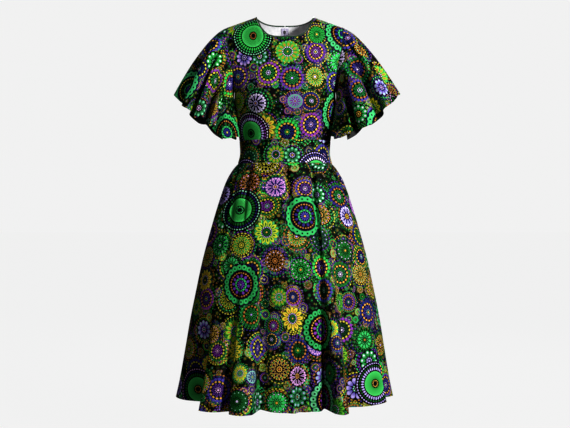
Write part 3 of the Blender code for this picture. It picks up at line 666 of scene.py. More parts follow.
def rough_lay(points, flared):
    """The panel laid flat roughly, in metres. A flared panel opens into part of a ring: its
    columns become rays and its rows arcs, as long as the cloth along them. Another keeps its rows
    and columns straight. The middle column stays upright."""
    row, column = spans(points)
    row = row - row[:, [points.shape[1] // 2]]
    if not flared:
        return np.stack([row, -column], -1)
    top, bottom = np.ptp(row[0]), np.ptp(row[-1])
    radius = column.mean(1)[-1] * top / (bottom - top)
    ray = radius + column
    turn = row / (radius + column.mean(1)[:, None])
    return np.stack([ray * np.sin(turn), -ray * np.cos(turn)], -1)


def bodice_lay(angles, points, back):
    """The bodice laid flat roughly: each place lies as far across as it is along the level line
    from the centre, and as far down as it is down its own column from the underarm's level."""
    drops = np.linspace(0, BAND_TOP, LAY_ROWS)
    body = bodice_point(*np.meshgrid(angles, drops), back)
    row, column = spans(body)
    across = row - row[:, [int(np.argmin(np.abs(angles)))]]
    level = int(np.argmin(np.abs(drops - UNDERARM)))
    down = column - column[[level]]
    place = np.clip((NECK_POINT_Z - points[..., Z]) / BAND_TOP, 0, 1) * (LAY_ROWS - 1)
    above = np.minimum(place.astype(int), LAY_ROWS - 2)
    share = place - above
    j = np.arange(len(angles))[None, :]
    read = [value[above, j] * (1 - share) + value[above + 1, j] * share for value in (across, down)]
    return np.stack([read[0], -read[1]], -1)


def flattened(points, lay):
    """Lays a panel flat as a cutter would, from a rough lay of it. Neighbours in a net of places
    are pulled until they lie as far apart as they are along the cloth, along rows, columns and
    both diagonals, over a wide net first and then over finer ones. A diagonal's length follows
    from its two sides, stretched to their lengths along the cloth, and the angle between them."""
    spanned = spans(points)
    for step in FLATTEN_STEPS:
        places = [np.unique(np.append(np.arange(0, size, step), size - 1)) for size in lay.shape[:2]]
        net = np.ix_(*places)
        across, down = np.diff(points[net], axis=1), np.diff(points[net], axis=0)
        along_row, along_column = np.diff(spanned[0][net], axis=1), np.diff(spanned[1][net], axis=0)
        across = unit(across) * along_row[..., None]
        down = unit(down) * along_column[..., None]
        falling = norm(across[:-1] + down[:, 1:]) + norm(down[:, :-1] + across[1:])
        rising = norm(down[:, :-1] - across[:-1]) + norm(down[:, 1:] - across[1:])
        pairs = [
            (np.s_[:, 1:], np.s_[:, :-1], along_row),
            (np.s_[1:, :], np.s_[:-1, :], along_column),
            (np.s_[1:, 1:], np.s_[:-1, :-1], falling / 2),
            (np.s_[1:, :-1], np.s_[:-1, 1:], rising / 2),
        ]
        held = np.zeros(lay[net].shape[:2])
        for one, other, _ in pairs:
            held[one] += 1
            held[other] += 1
        flat = lay[net]
        for _ in range(FLATTEN_ROUNDS):
            pull = np.zeros(flat.shape)
            for one, other, length in pairs:
                apart = flat[one] - flat[other]
                now = np.maximum(norm(apart), 1e-9)
                move = apart * ((length - now) / now / 2)[..., None]
                pull[one] += move
                pull[other] -= move
            flat = flat + pull * FLATTEN_PULL / held[..., None]
        lay = lay + between(flat - lay[net], places, lay.shape[:2])
    return lay


def between(values, places, sizes):
    """Values known at a net of rows and columns, read in straight steps at every place between."""
    for axis in (0, 1):
        place = np.interp(np.arange(sizes[axis]), places[axis], np.arange(len(places[axis])))
        before = np.minimum(place.astype(int), len(places[axis]) - 2)
        share = (place - before)[:, None] if axis else (place - before)[:, None, None]
        low, high = np.take(values, before, axis), np.take(values, before + 1, axis)
        values = low + (high - low) * share
    return values


def creased(points, normals, creases):
    """Presses a panel's creases into it. Each is a soft trough about a straight line across the
    panel, deepest along its middle. It fades out at its ends and at the seam above the panel."""
    row, column = spans(points)
    width = row[:, -1:]
    height = column[-1].mean()
    across = np.linspace(0, 1, points.shape[1])[None, :]
    down = column / np.maximum(column[-1:], 1e-9)
    depth = np.zeros(points.shape[:2])
    for a0, d0, a1, d1, width_mm, depth_mm in zip(*creases.values()):
        run_across, run_down = (a1 - a0) * width, (d1 - d0) * height
        from_start = (across - a0) * width, (down - d0) * height
        share = (from_start[0] * run_across + from_start[1] * run_down) / (run_across**2 + run_down**2)
        share = np.clip(share, 0, 1)
        apart = (from_start[0] - share * run_across) ** 2 + (from_start[1] - share * run_down) ** 2
        fade = np.where(d1 > 0.99, ease(share / 0.3), np.sin(np.pi * (0.04 + 0.92 * share)))
        fade = np.where(d0 < 0.01, np.where(d1 > 0.99, 1, ease((1 - share) / 0.7)), fade)
        depth += depth_mm / 1000 * fade * np.exp(-apart / (width_mm / 1000) ** 2)
    return points - normals * (depth * ease(column / SEAM_HOLD))[..., None]


def seam_rolled(points, normals, edges):
    """Turns a panel's seamed edges slightly inward, as cloth does where it meets a seam."""
    row, column = spans(points)
    near = np.full(points.shape[:2], 1.0)
    lengths = {"first": row, "last": row[:, -1:] - row, "top": column, "bottom": column[-1:] - column}
    for edge in edges:
        near = np.minimum(near, lengths[edge])
    depth = SEAM_ROLL_DEPTH * (1 - quarter_round(near / SEAM_ROLL_WIDTH))
    return points - normals * depth[..., None]


# Meshes


def quads_of(rows, columns, closed):
    """The four corners of each face of a grid, and of the same face on the flat map, whose
    last column isn't joined to its first."""
    index = np.arange(rows * columns).reshape(rows, columns)
    after = np.roll(index, -1, 1) if closed else index[:, 1:]
    before = index if closed else index[:, :-1]
    corners = np.stack([before[:-1], after[:-1], after[1:], before[1:]], -1).reshape(-1, 4)
    wide = columns + 1 if closed else columns
    index = np.arange(rows * wide).reshape(rows, wide)
    flat = np.stack([index[:-1, :-1], index[:-1, 1:], index[1:, 1:], index[1:, :-1]], -1).reshape(-1, 4)
    return corners, flat, before, after


def new_mesh(name, points, corners, uv=None, slots=None):
    """A mesh of four-cornered faces, with a flat map and a material slot for each face."""
    mesh = bpy.data.meshes.new(name)
    mesh.vertices.add(len(points))
    mesh.vertices.foreach_set("co", points.astype(np.float32).ravel())
    mesh.loops.add(corners.size)
    mesh.loops.foreach_set("vertex_index", corners.astype(np.int32).ravel())
    mesh.polygons.add(len(corners))
    mesh.polygons.foreach_set("loop_start", np.arange(0, corners.size, 4, dtype=np.int32))
    if slots is not None:
        mesh.polygons.foreach_set("material_index", slots.astype(np.int32))
    mesh.update(calc_edges=True)
    if uv is not None:
        mesh.uv_layers.new(name="cloth").data.foreach_set("uv", uv.astype(np.float32).ravel())
    mesh.shade_smooth()
    mesh.set_sharp_from_angle(angle=math.radians(50))
    obj = bpy.data.objects.new(name, mesh)
    bpy.context.scene.collection.objects.link(obj)
    return obj


def cloth_piece(
    name, points, normals, uv, materials, turn, closed=False, thickness=CLOTH_THICKNESS
):
    """A thin closed shell: the panel's right side, its wrong side one cloth thickness inside,
    and its cut edges. turn is -1 where the grid's own faces would point inward."""
    if closed:
        points, normals = points[:, :-1], normals[:, :-1]
    rows, columns = points.shape[:2]
    count = rows * columns
    corners, flat, before, after = quads_of(rows, columns, closed)
    faces = [corners, corners[:, ::-1] + count]
    maps = [flat, flat[:, ::-1]]
    wide = uv.shape[1]
    for row, step in ((0, 1), (rows - 1, -1)):
        cap = np.stack([before[row], before[row] + count, after[row] + count, after[row]], -1)
        left = np.arange(wide - 1) + row * wide
        faces.append(cap[:, ::step])
        maps.append(np.stack([left, left, left + 1, left + 1], -1)[:, ::step])
    if not closed:
        index = np.arange(count).reshape(rows, columns)
        for column, step in ((0, -1), (columns - 1, 1)):
            edge = index[:, column]
            cap = np.stack([edge[:-1], edge[:-1] + count, edge[1:] + count, edge[1:]], -1)
            faces.append(cap[:, ::step])
            maps.append(np.stack([edge[:-1], edge[:-1], edge[1:], edge[1:]], -1)[:, ::step])
    slots = np.concatenate([np.full(len(f), 1 if k == 1 else 0) for k, f in enumerate(faces)])
    faces, maps = np.concatenate(faces), np.concatenate(maps)
    if turn < 0:
        faces, maps = faces[:, ::-1], maps[:, ::-1]
    both = np.concatenate([points.reshape(-1, 3), (points - normals * thickness).reshape(-1, 3)])
    obj = new_mesh(name, both, faces, uv.reshape(-1, 2)[maps.ravel()], slots)
    for made in materials:
        obj.data.materials.append(made)
    return obj


def bead_row(name, path, outward, pitch, half, material, crosswise=False):
    """A row of small beads along a path, as one joined mesh. Each is a bar that tapers at both
    ends. It lies along the path, as a stitch does, or crosswise, as a zip's tooth does. half
    is a bead's half length, half width and half height, in metres."""
    span = np.concatenate([[0], np.cumsum(np.linalg.norm(np.diff(path, axis=0), axis=1))])
    places = np.arange(pitch / 2, span[-1], pitch)
    centre = np.column_stack([np.interp(places, span, path[:, axis]) for axis in range(3)])
    normal = unit(np.column_stack([np.interp(places, span, outward[:, axis]) for axis in range(3)]))
    long_way = unit(np.gradient(centre, axis=0))
    side = unit(np.cross(long_way, normal))
    if crosswise:
        long_way, side = side, -long_way
    turn = np.radians(np.arange(0, 360, 60))
    steps = np.array([-1, -0.8, 0, 0.8, 1])
    size = np.array([0.25, 0.8, 1, 0.8, 0.25])
    points = centre[:, None, None] + (steps * half[0])[:, None, None] * long_way[:, None, None]
    points = points + (size[:, None] * np.cos(turn) * half[1])[..., None] * side[:, None, None]
    points = points + (size[:, None] * np.sin(turn) * half[2])[..., None] * normal[:, None, None]
    per_bead = len(steps) * len(turn)
    ring = quads_of(len(steps), len(turn), True)[0]
    first = np.array([[5, 4, 3, 2], [5, 2, 1, 0]])
    corners = np.concatenate([ring[:, ::-1], first[:, ::-1], first + per_bead - len(turn)])
    faces = (corners[None] + per_bead * np.arange(len(centre))[:, None, None]).reshape(-1, 4)
    obj = new_mesh(name, points.reshape(-1, 3), faces)
    obj.data.materials.append(material)
    return obj


# Finishes


def colour(hex_value):
    """A linear colour from sRGB hex."""
    parts = [int(hex_value[i : i + 2], 16) / 255 for i in (1, 3, 5)]
    return (*(p / 12.92 if p <= 0.04045 else ((p + 0.055) / 1.055) ** 2.4 for p in parts), 1.0)


def add(tree, kind, inputs=(), output=0, **settings):
    """Adds a shader node with its settings. Inputs are sockets to link or plain values, given in
    order or by name. Gives the named output."""
    made = tree.nodes.new("ShaderNode" + kind)
    for key, value in settings.items():
        setattr(made, key, value)
    pairs = inputs.items() if isinstance(inputs, dict) else enumerate(inputs)
    for key, value in pairs:
        if isinstance(value, bpy.types.NodeSocket):
            tree.links.new(value, made.inputs[key])
        elif value is not None:
            made.inputs[key].default_value = value
    return made.outputs[output]


def finish_of(name, roughness, **sockets):
    """A new material, with its tree, its shader's inputs, and plain values set on the shader."""
    made = bpy.data.materials.new(name)
    made.use_nodes = True
    shader = made.node_tree.nodes["Principled BSDF"].inputs
    shader["Roughness"].default_value = roughness
    for key, value in sockets.items():
        shader[key.replace("_", " ")].default_value = value
    return made, made.node_tree, shader


def pick(tree, value, hexes):
    """One of a row of colours, by a value from 0 to 1."""
    made = tree.nodes.new("ShaderNodeValToRGB")
    ramp = made.color_ramp
    ramp.interpolation = "CONSTANT"
    ramp.elements[0].position = 0.0
    ramp.elements[0].color = colour(hexes[0])
    ramp.elements[1].position = 1 / len(hexes)
    ramp.elements[1].color = colour(hexes[1])
    for i, value_hex in enumerate(hexes[2:], 2):
        ramp.elements.new(i / len(hexes)).color = colour(value_hex)
    tree.links.new(value, made.inputs[0])
    return made.outputs[0]


def chance(tree, value, times):
    """Another value from 0 to 1, made from one by stretching it and dropping whole numbers."""
    return add(tree, "Math", (add(tree, "Math", (value, times), operation="MULTIPLY"),), operation="FRACT")


DYE_STRENGTH = 0.88
DYE_DEPTH = 1.35   # how far the dye sinks into the cloth: over 1, the darker tones go deeper
INK = "#010402"
GREENS = ["#1FD257", "#0C8A36", "#3ED07A", "#14A548", "#0A6B2C", "#57C98F"]
LIMES = ["#D6E21A", "#9BD01A", "#E8D820", "#6FC21E"]
GOLDS = ["#E8B62A", "#D9D02A", "#C98A22", "#F0C84A"]
PURPLES = ["#7A2FB4", "#3E2496", "#A03AC0", "#5A49B8", "#1E2A94"]
PALES = ["#C9B8F2", "#E6DCF6", "#9FE3C0", "#E7B7E6"]
DEEPS = ["#0A0E44", "#04200F", "#1C0838", "#031614", "#06132E", "#082E18"]
MINTS = ["#4FD08A", "#39C877", "#7FD9A6"]
GROUNDS = [
    "#0B4A1E", "#0E6A2A", "#073216", "#118A3A", "#0A3A44", "#2C6A12",
    "#7E7A12", "#A8781A", "#5A4A10", "#3A1A5E", "#5E2484", "#171C60",
]


def rosette_places(tree, flat, cell, reach, loose, seed):
    """One layer of rosettes. The cloth is divided into uneven cells of about the size given, each
    with a rosette at its centre, no wider than twice reach. Far is how far a place lies from its
    centre, in the rosette's radii, and Turned how far round it, as a share of a turn. Luck is
    three numbers from 0 to 1 that are the same all over a cell."""
    moved = add(tree, "VectorMath", (flat, (seed * 1.37, seed * 0.61, 0)), operation="ADD")
    cells = {"Vector": moved, "Scale": 1 / cell, "Randomness": loose}
    nearest = add(tree, "TexVoronoi", cells, voronoi_dimensions="2D").node.outputs
    room = add(tree, "TexVoronoi", cells, "Radius", voronoi_dimensions="2D", feature="N_SPHERE_RADIUS")
    radius = add(tree, "Math", (room, cell), operation="MULTIPLY")
    radius = add(tree, "Math", (radius, reach), operation="MINIMUM")
    local = add(tree, "VectorMath", (moved, nearest["Position"]), operation="SUBTRACT")
    away = add(tree, "VectorMath", (local,), "Value", operation="LENGTH")
    far = add(tree, "Math", (away, radius), operation="DIVIDE")
    parts = add(tree, "SeparateXYZ", (local,), "X").node.outputs
    around = add(tree, "Math", (parts["Y"], parts["X"]), operation="ARCTAN2")
    luck = add(tree, "VectorMath", (nearest["Color"],), operation="FRACTION")
    luck = add(tree, "SeparateXYZ", (luck,), "X").node.outputs
    turned = add(tree, "Math", (around, 1 / (2 * math.pi), luck["Y"]), operation="MULTIPLY_ADD")
    return {"Far": far, "Turned": turned, "Luck X": luck["X"], "Luck Y": luck["Y"], "Luck Z": luck["Z"]}


class Rosette:
    """A group of nodes that draws one kind of rosette over the colour under it, part by part."""

    def __init__(self, name):
        self.tree = bpy.data.node_groups.new(name, "ShaderNodeTree")
        for socket in ("Far", "Turned", "Luck X", "Luck Y", "Luck Z"):
            self.tree.interface.new_socket(socket, in_out="INPUT", socket_type="NodeSocketFloat")
        self.tree.interface.new_socket("Under", in_out="INPUT", socket_type="NodeSocketColor")
        self.tree.interface.new_socket("Look", in_out="OUTPUT", socket_type="NodeSocketColor")
        self.given = self.tree.nodes.new("NodeGroupInput").outputs
        self.look = self.given["Under"]

    def done(self):
        end = self.tree.nodes.new("NodeGroupOutput")
        self.tree.links.new(self.look, end.inputs["Look"])
        return self.tree

    def spread(self, count, start=0.0):
        """How far round its own petal a place is, of count petals: 0 along a petal's middle line
        and 1 halfway to the next, or the other way round where start is 1."""
        value = add(self.tree, "Math", (self.given["Turned"], 2.0 * count, start), operation="MULTIPLY_ADD")
        return add(self.tree, "Math", (value, 1.0), operation="PINGPONG")

    def along(self, middle, half):
        """How far a place is from a ring's middle, squared, in half widths of the ring."""
        value = add(self.tree, "Math", (self.given["Far"], 1 / half, -middle / half), operation="MULTIPLY_ADD")
        return add(self.tree, "Math", (value, value), operation="MULTIPLY")

    def lay(self, mask, over):
        """Lays a colour over the rosette so far, where the mask holds."""
        over = colour(over) if isinstance(over, str) else over
        self.look = add(self.tree, "Mix", {0: mask, 6: self.look, 7: over}, 2, data_type="RGBA")

    def ring(self, middle, half, over):
        """A plain ring, or a disc where its middle is 0."""
        self.lay(add(self.tree, "Math", (self.along(middle, half), 1.0), operation="LESS_THAN"), over)

    def leaves(self, spread, middle, half, width, over):
        """Petals with pointed ends: as wide as width less its share of the way out."""
        edge = add(self.tree, "Math", (self.along(middle, half), -width, width), operation="MULTIPLY_ADD")
        self.lay(add(self.tree, "Math", (spread, edge), operation="LESS_THAN"), over)

    def beads(self, spread, middle, half, width, over):
        """Oval petals or beads: the squares of both distances add up to less than 1."""
        value = add(self.tree, "Math", (spread, 1 / width), operation="MULTIPLY")
        value = add(self.tree, "Math", (value, value, self.along(middle, half)), operation="MULTIPLY_ADD")
        self.lay(add(self.tree, "Math", (value, 1.0), operation="LESS_THAN"), over)

    def hue(self, part, times, hexes):
        """The cell's own choice among some colours."""
        return pick(self.tree, chance(self.tree, self.given["Luck " + part], times), hexes)

    def shaded(self, start, end, inner, outer):
        """A colour that turns from one to another on the way out from the centre."""
        share = add(self.tree, "MapRange", (self.given["Far"], start, end, 0.0, 1.0))
        return add(self.tree, "Mix", {0: share, 6: inner, 7: outer}, 2, data_type="RGBA")


def daisy():
    """Round petals, paler toward their tips, about a dark heart with a ring of beads."""
    rosette = Rosette("daisy")
    petals, beads = rosette.spread(10), rosette.spread(8)
    deep = rosette.hue("X", 13.1, [GREENS[3], GREENS[1], GREENS[4], PURPLES[3]])
    bright = rosette.hue("X", 13.1, [GREENS[0], GREENS[2], GREENS[5], PALES[0]])
    rosette.ring(0.0, 1.04, INK)
    rosette.beads(petals, 0.68, 0.30, 0.86, rosette.shaded(0.40, 0.95, deep, bright))
    rosette.beads(petals, 0.80, 0.09, 0.34, rosette.hue("Z", 5.3, PALES))
    rosette.ring(0.0, 0.37, rosette.hue("Y", 7.9, DEEPS))
    rosette.beads(beads, 0.25, 0.07, 0.60, rosette.hue("Y", 11.3, PALES[::-1] + GOLDS[:1]))
    rosette.ring(0.0, 0.09, rosette.hue("Z", 17.9, GOLDS + PALES))
    return rosette.done()


def beaded_disc():
    """A deep-coloured disc in a ring of gold beads, with a ring of leaves outside them."""
    rosette = Rosette("beaded_disc")
    rim, beads, inner = rosette.spread(18), rosette.spread(14), rosette.spread(10)
    rosette.ring(0.0, 1.0, INK)
    rosette.leaves(rim, 1.03, 0.17, 0.85, rosette.hue("X", 19.7, PURPLES + GREENS[:2]))
    rosette.ring(0.0, 0.90, rosette.hue("Z", 3.7, DEEPS))
    rosette.beads(beads, 0.80, 0.085, 0.62, rosette.hue("Y", 9.1, GOLDS))
    rosette.leaves(inner, 0.47, 0.22, 0.72, rosette.hue("X", 29.3, PURPLES + GREENS[3:5]))
    rosette.leaves(inner, 0.47, 0.14, 0.36, rosette.hue("Z", 23.1, DEEPS))
    rosette.beads(inner, 0.22, 0.05, 0.5, rosette.hue("Z", 27.7, PALES + GREENS[:1]))
    rosette.ring(0.0, 0.10, rosette.hue("Y", 31.9, PALES + GOLDS[:2]))
    return rosette.done()


def lime_star():
    """Long pointed petals of lime and gold round a dark eye with a rim of pale beads."""
    rosette = Rosette("lime_star")
    petals, gaps, beads = rosette.spread(12), rosette.spread(12, 1.0), rosette.spread(16)
    rosette.leaves(gaps, 0.80, 0.36, 0.92, rosette.hue("Y", 13.7, GREENS[1:5]))
    rosette.leaves(petals, 0.78, 0.42, 0.98, INK)
    rosette.leaves(petals, 0.78, 0.38, 0.86, rosette.hue("X", 37.3, LIMES))
    rosette.leaves(petals, 0.74, 0.20, 0.42, rosette.hue("Z", 7.1, GREENS[1:5] + GOLDS[2:3]))
    rosette.ring(0.0, 0.54, INK)
    rosette.beads(beads, 0.47, 0.050, 0.62, rosette.hue("Y", 21.1, PALES))
    rosette.leaves(petals, 0.25, 0.15, 0.66, rosette.hue("X", 3.9, GREENS))
    rosette.ring(0.0, 0.08, rosette.hue("Z", 11.7, GOLDS))
    return rosette.done()


def pale_star():
    """A star of narrow pale petals on a violet or blue disc, with beads between the petals."""
    rosette = Rosette("pale_star")
    petals, gaps = rosette.spread(10), rosette.spread(10, 1.0)
    pale = rosette.hue("Y", 4.3, PALES + GREENS[2:3])
    rosette.ring(0.0, 1.0, rosette.hue("X", 5.9, PURPLES[1:] + DEEPS[:2]))
    rosette.leaves(petals, 0.66, 0.34, 0.50, pale)
    rosette.leaves(petals, 0.62, 0.20, 0.22, rosette.hue("Z", 15.1, PURPLES))
    rosette.beads(gaps, 0.84, 0.09, 0.42, pale)
    rosette.beads(gaps, 0.50, 0.07, 0.34, INK)
    rosette.ring(0.0, 0.31, rosette.hue("Z", 33.3, DEEPS))
    rosette.beads(petals, 0.20, 0.07, 0.62, rosette.hue("X", 25.7, PALES + GOLDS[:1]))
    rosette.ring(0.0, 0.08, rosette.hue("Y", 17.3, GOLDS))
    return rosette.done()


def lace_wheel():
    """A near-black wheel drawn in thin gold and green: beaded rim, outlined leaves, small eye."""
    rosette = Rosette("lace_wheel")
    rim, leaves, gaps = rosette.spread(22), rosette.spread(12), rosette.spread(12, 1.0)
    line = rosette.hue("X", 43.9, GOLDS + GREENS[:2])
    leaf = rosette.hue("Z", 41.3, GREENS[1:5] + DEEPS[:2])
    rosette.ring(0.0, 1.02, INK)
    rosette.beads(rim, 0.93, 0.055, 0.62, line)
    rosette.leaves(leaves, 0.62, 0.25, 0.90, line)
    rosette.leaves(leaves, 0.62, 0.20, 0.66, leaf)
    rosette.beads(gaps, 0.80, 0.05, 0.32, rosette.hue("Y", 8.3, PALES + GREENS[:1]))
    rosette.beads(gaps, 0.36, 0.07, 0.42, leaf)
    rosette.ring(0.22, 0.03, line)
    rosette.ring(0.0, 0.11, rosette.hue("Y", 14.9, GOLDS + PALES[:2]))
    return rosette.done()


def beaded_halo():
    """Rings of small beads that fill the cloth between a rosette and its neighbours."""
    rosette = Rosette("beaded_halo")
    hexes = GREENS[1:5] + GOLDS[1:3] + PURPLES[:2]
    rosette.beads(rosette.spread(20), 1.14, 0.055, 0.58, rosette.hue("X", 51.1, hexes))
    rosette.beads(rosette.spread(24), 1.30, 0.060, 0.58, rosette.hue("Y", 53.3, hexes))
    rosette.beads(rosette.spread(28), 1.48, 0.060, 0.58, rosette.hue("Z", 55.7, hexes))
    return rosette.done()


def petal_band_wheel():
    """A large wheel: a band of pale green petals with a dark seed in each, a gold ring of beads,
    and a small flower on a dark disc."""
    rosette = Rosette("petal_band_wheel")
    petals, beads, inner = rosette.spread(20), rosette.spread(28), rosette.spread(12)
    mint = rosette.hue("Z", 2.9, MINTS)
    rosette.ring(0.0, 1.03, rosette.hue("X", 6.1, DEEPS[:3]))
    rosette.ring(0.82, 0.10, rosette.hue("Y", 9.7, GREENS[1:4]))
    rosette.beads(petals, 0.84, 0.13, 0.90, mint)
    rosette.beads(petals, 0.83, 0.045, 0.36, INK)
    rosette.ring(0.0, 0.66, INK)
    rosette.beads(beads, 0.57, 0.032, 0.62, rosette.hue("X", 12.3, GOLDS))
    rosette.leaves(inner, 0.42, 0.09, 0.60, rosette.hue("Y", 15.7, PURPLES + GREENS[3:5]))
    rosette.ring(0.29, 0.035, mint)
    rosette.beads(inner, 0.29, 0.022, 0.5, INK)
    rosette.leaves(inner, 0.14, 0.10, 0.7, rosette.hue("X", 22.7, PURPLES))
    rosette.ring(0.0, 0.045, rosette.hue("Z", 35.9, GOLDS + PALES))
    return rosette.done()


def moss_wheel():
    """A large wheel: a bright green disc with fine rays and a dark eye, inside dark rings with
    pale beads."""
    rosette = Rosette("moss_wheel")
    rays, beads, outer = rosette.spread(48), rosette.spread(36), rosette.spread(44)
    rosette.ring(0.0, 1.06, INK)
    rosette.beads(outer, 0.96, 0.028, 0.60, rosette.hue("X", 7.7, PALES))
    rosette.beads(beads, 0.84, 0.030, 0.55, rosette.hue("Y", 5.1, PURPLES + GREENS[1:3]))
    rosette.leaves(beads, 0.70, 0.08, 0.62, rosette.hue("Z", 8.9, PALES[:2] + GREENS[:2]))
    rosette.ring(0.0, 0.58, rosette.shaded(0.16, 0.55, colour("#1E9A3C"), colour("#4FD873")))
    rosette.leaves(rays, 0.42, 0.16, 0.40, rosette.hue("Y", 19.9, ["#0E7A30", "#2FC25A"]))
    rosette.ring(0.0, 0.22, INK)
    rosette.beads(rosette.spread(12), 0.14, 0.03, 0.5, rosette.hue("X", 28.1, GOLDS + GREENS))
    return rosette.done()


def ground_blossom():
    """Six small petals with six specks outside them and a bright eye. Luck X picks the petals'
    colour along the row of ground colours."""
    rosette = Rosette("ground_blossom")
    rosette.beads(rosette.spread(6), 0.60, 0.36, 0.80, pick(rosette.tree, rosette.given["Luck X"], GROUNDS))
    rosette.beads(rosette.spread(6, 1.0), 1.05, 0.20, 0.40, rosette.hue("Y", 6.7, GROUNDS[:6]))
    rosette.ring(0.0, 0.22, rosette.hue("Z", 9.3, GOLDS + GREENS[:2] + PALES[:1]))
    return rosette.done()


def lay_rosettes(tree, look, places, kinds, share):
    """Lays a layer of rosettes over the print so far. Each cell takes one of the kinds, each of
    which starts at its own share of the cells, and only a share of the cells has a rosette."""
    value = chance(tree, places["Luck Z"], 6.9)
    under = look
    for start, kind in kinds.items():
        over = add(tree, "Group", {**places, "Under": under}, node_tree=kind)
        mask = add(tree, "Math", (value, start), operation="GREATER_THAN")
        look = add(tree, "Mix", {0: mask, 6: look, 7: over}, 2, data_type="RGBA")
    here = add(tree, "Math", (places["Luck X"], share), operation="LESS_THAN")
    return add(tree, "Mix", {0: here, 6: under, 7: look}, 2, data_type="RGBA")


def print_colour(tree, flat):
    """The print: blossoms about 12 mm across on near-black, which lean to green, gold or purple by
    turns, then small rosettes, closely set ones about 60 mm across with beads between them, and
    a few wheels twice as wide."""
    disc, lace = beaded_disc(), lace_wheel()
    places = rosette_places(tree, flat, 0.0125, 0.0062, 0.8, 4)
    drift = add(tree, "TexNoise", {"Vector": flat, "Scale": 4.5, "Detail": 1.0}, 0)
    lean = add(tree, "Math", (drift, 2.2, -0.75), operation="MULTIPLY_ADD")
    places["Luck X"] = add(tree, "Math", (places["Luck X"], 0.45, lean), operation="MULTIPLY_ADD")
    look = add(tree, "Group", {**places, "Under": colour(INK)}, node_tree=ground_blossom())
    small = rosette_places(tree, flat, 0.034, 0.0135, 0.75, 1)
    look = lay_rosettes(tree, look, small, {-1.0: disc, 0.5: lace}, 0.65)
    middle = rosette_places(tree, flat, 0.080, 0.032, 0.55, 2)
    look = add(tree, "Group", {**middle, "Under": look}, node_tree=beaded_halo())
    kinds = {-1.0: lace, 0.32: disc, 0.58: daisy(), 0.74: lime_star(), 0.88: pale_star()}
    look = lay_rosettes(tree, look, middle, kinds, 1.0)
    large = rosette_places(tree, flat, 0.285, 0.063, 0.7, 3)
    look = lay_rosettes(tree, look, large, {-1.0: petal_band_wheel(), 0.5: moss_wheel()}, 0.78)
    look = add(tree, "HueSaturation", {"Saturation": DYE_STRENGTH, "Color": look})
    return add(tree, "Gamma", (look, DYE_DEPTH))


def weave(tree, flat, pitch, strength, shader):
    """Crossed threads, as a bump. Drawn coarser than the real 0.25 mm, so that they show."""
    threads = [
        add(tree, "TexWave", {"Vector": flat, "Scale": math.pi / 10 / pitch}, 1, bands_direction=way)
        for way in ("X", "Y")
    ]
    both = add(tree, "Math", threads, operation="MULTIPLY")
    bump = add(tree, "Bump", {"Strength": strength, "Distance": pitch / 4, "Height": both})
    tree.links.new(bump, shader["Normal"])


def printed_crepe():
    """Polyester crepe, woven, heat-set and printed on one side: rich colour, hardly any lustre and
    a fine crossed grain."""
    made, tree, shader = finish_of("printed_polyester_crepe", 0.6, Specular_IOR_Level=0.08)
    flat = add(tree, "UVMap", uv_map="cloth")
    tree.links.new(print_colour(tree, flat), shader["Base Color"])
    weave(tree, flat, 0.0012, 0.12, shader)
    return made


def crepe_wrong_side(name, base, mottle_hex, roughness):
    """The wrong side of the crepe, dull and mottled between two given colours: pale where the dye
    only partly comes through, and near-black on the sleeves, where it is painted shade of their hollows.
    """
    made, tree, shader = finish_of(name, roughness, Sheen_Weight=0.08)
    flat = add(tree, "UVMap", uv_map="cloth")
    spots = add(tree, "TexNoise", {"Vector": flat, "Scale": 55.0, "Detail": 3.0}, 0)
    ramp = add(tree, "MapRange", (spots, 0.42, 0.72, 0.0, 1.0))
    look = add(tree, "Mix", {0: ramp, 6: colour(base), 7: colour(mottle_hex)}, 2, data_type="RGBA")
    tree.links.new(look, shader["Base Color"])
    weave(tree, flat, 0.0012, 0.2, shader)
    return made


def satin_binding():
    """Satin bias binding, pressed round the raw edge: a soft lustre and long fine threads."""
    made, tree, shader = finish_of("satin_bias_binding", 0.42, Sheen_Weight=0.2)
    flat = add(tree, "UVMap", uv_map="cloth")
    streaks = add(tree, "TexNoise", {"Vector": flat, "Scale": 260.0, "Detail": 2.0}, 0)
    look = add(tree, "Mix", {0: streaks, 6: colour("#06210F"), 7: colour("#124A26")}, 2, data_type="RGBA")
    tree.links.new(look, shader["Base Color"])
    weave(tree, flat, 0.0009, 0.25, shader)
    return made


def sewing_thread():
    """Spun polyester sewing thread: matt, with a slight change of shade along it."""
    made, tree, shader = finish_of("spun_polyester_thread", 0.7, Sheen_Weight=0.2)
    place = add(tree, "TexCoord", (), "Object")
    shade = add(tree, "TexNoise", {"Vector": place, "Scale": 90.0}, 0)
    look = add(tree, "Mix", {0: shade, 6: colour("#04170B"), 7: colour("#12381F")}, 2, data_type="RGBA")
    tree.links.new(look, shader["Base Color"])
    return made


def woven_tape():
    """Zip tape, woven polyester: dull, with a herringbone of fine ribs."""
    made, tree, shader = finish_of("woven_polyester_tape", 0.78, Sheen_Weight=0.1)
    place = add(tree, "TexCoord", (), "Object")
    wave = {"Vector": place, "Scale": math.pi / 10 / RIB_PITCH, "Distortion": 0.4}
    ribs = add(tree, "TexWave", wave, 1, bands_direction="Z")
    look = add(tree, "Mix", {0: ribs, 6: colour("#A9A2BE"), 7: colour("#C4BDD6")}, 2, data_type="RGBA")
    tree.links.new(look, shader["Base Color"])
    tree.links.new(add(tree, "Bump", {"Strength": 0.3, "Distance": 0.0002, "Height": ribs}), shader["Normal"])
    return made


def nylon_coil():
    """Drawn nylon monofilament, heat-set into a coil: smooth and slightly clear."""
    made, tree, shader = finish_of("nylon_monofilament", 0.32, IOR=1.53)
    place = add(tree, "TexCoord", (), "Object")
    shade = add(tree, "TexNoise", {"Vector": place, "Scale": 400.0}, 0)
    look = add(tree, "Mix", {0: shade, 6: colour("#8E86A6"), 7: colour("#B4ADC8")}, 2, data_type="RGBA")
    tree.links.new(look, shader["Base Color"])
    return made


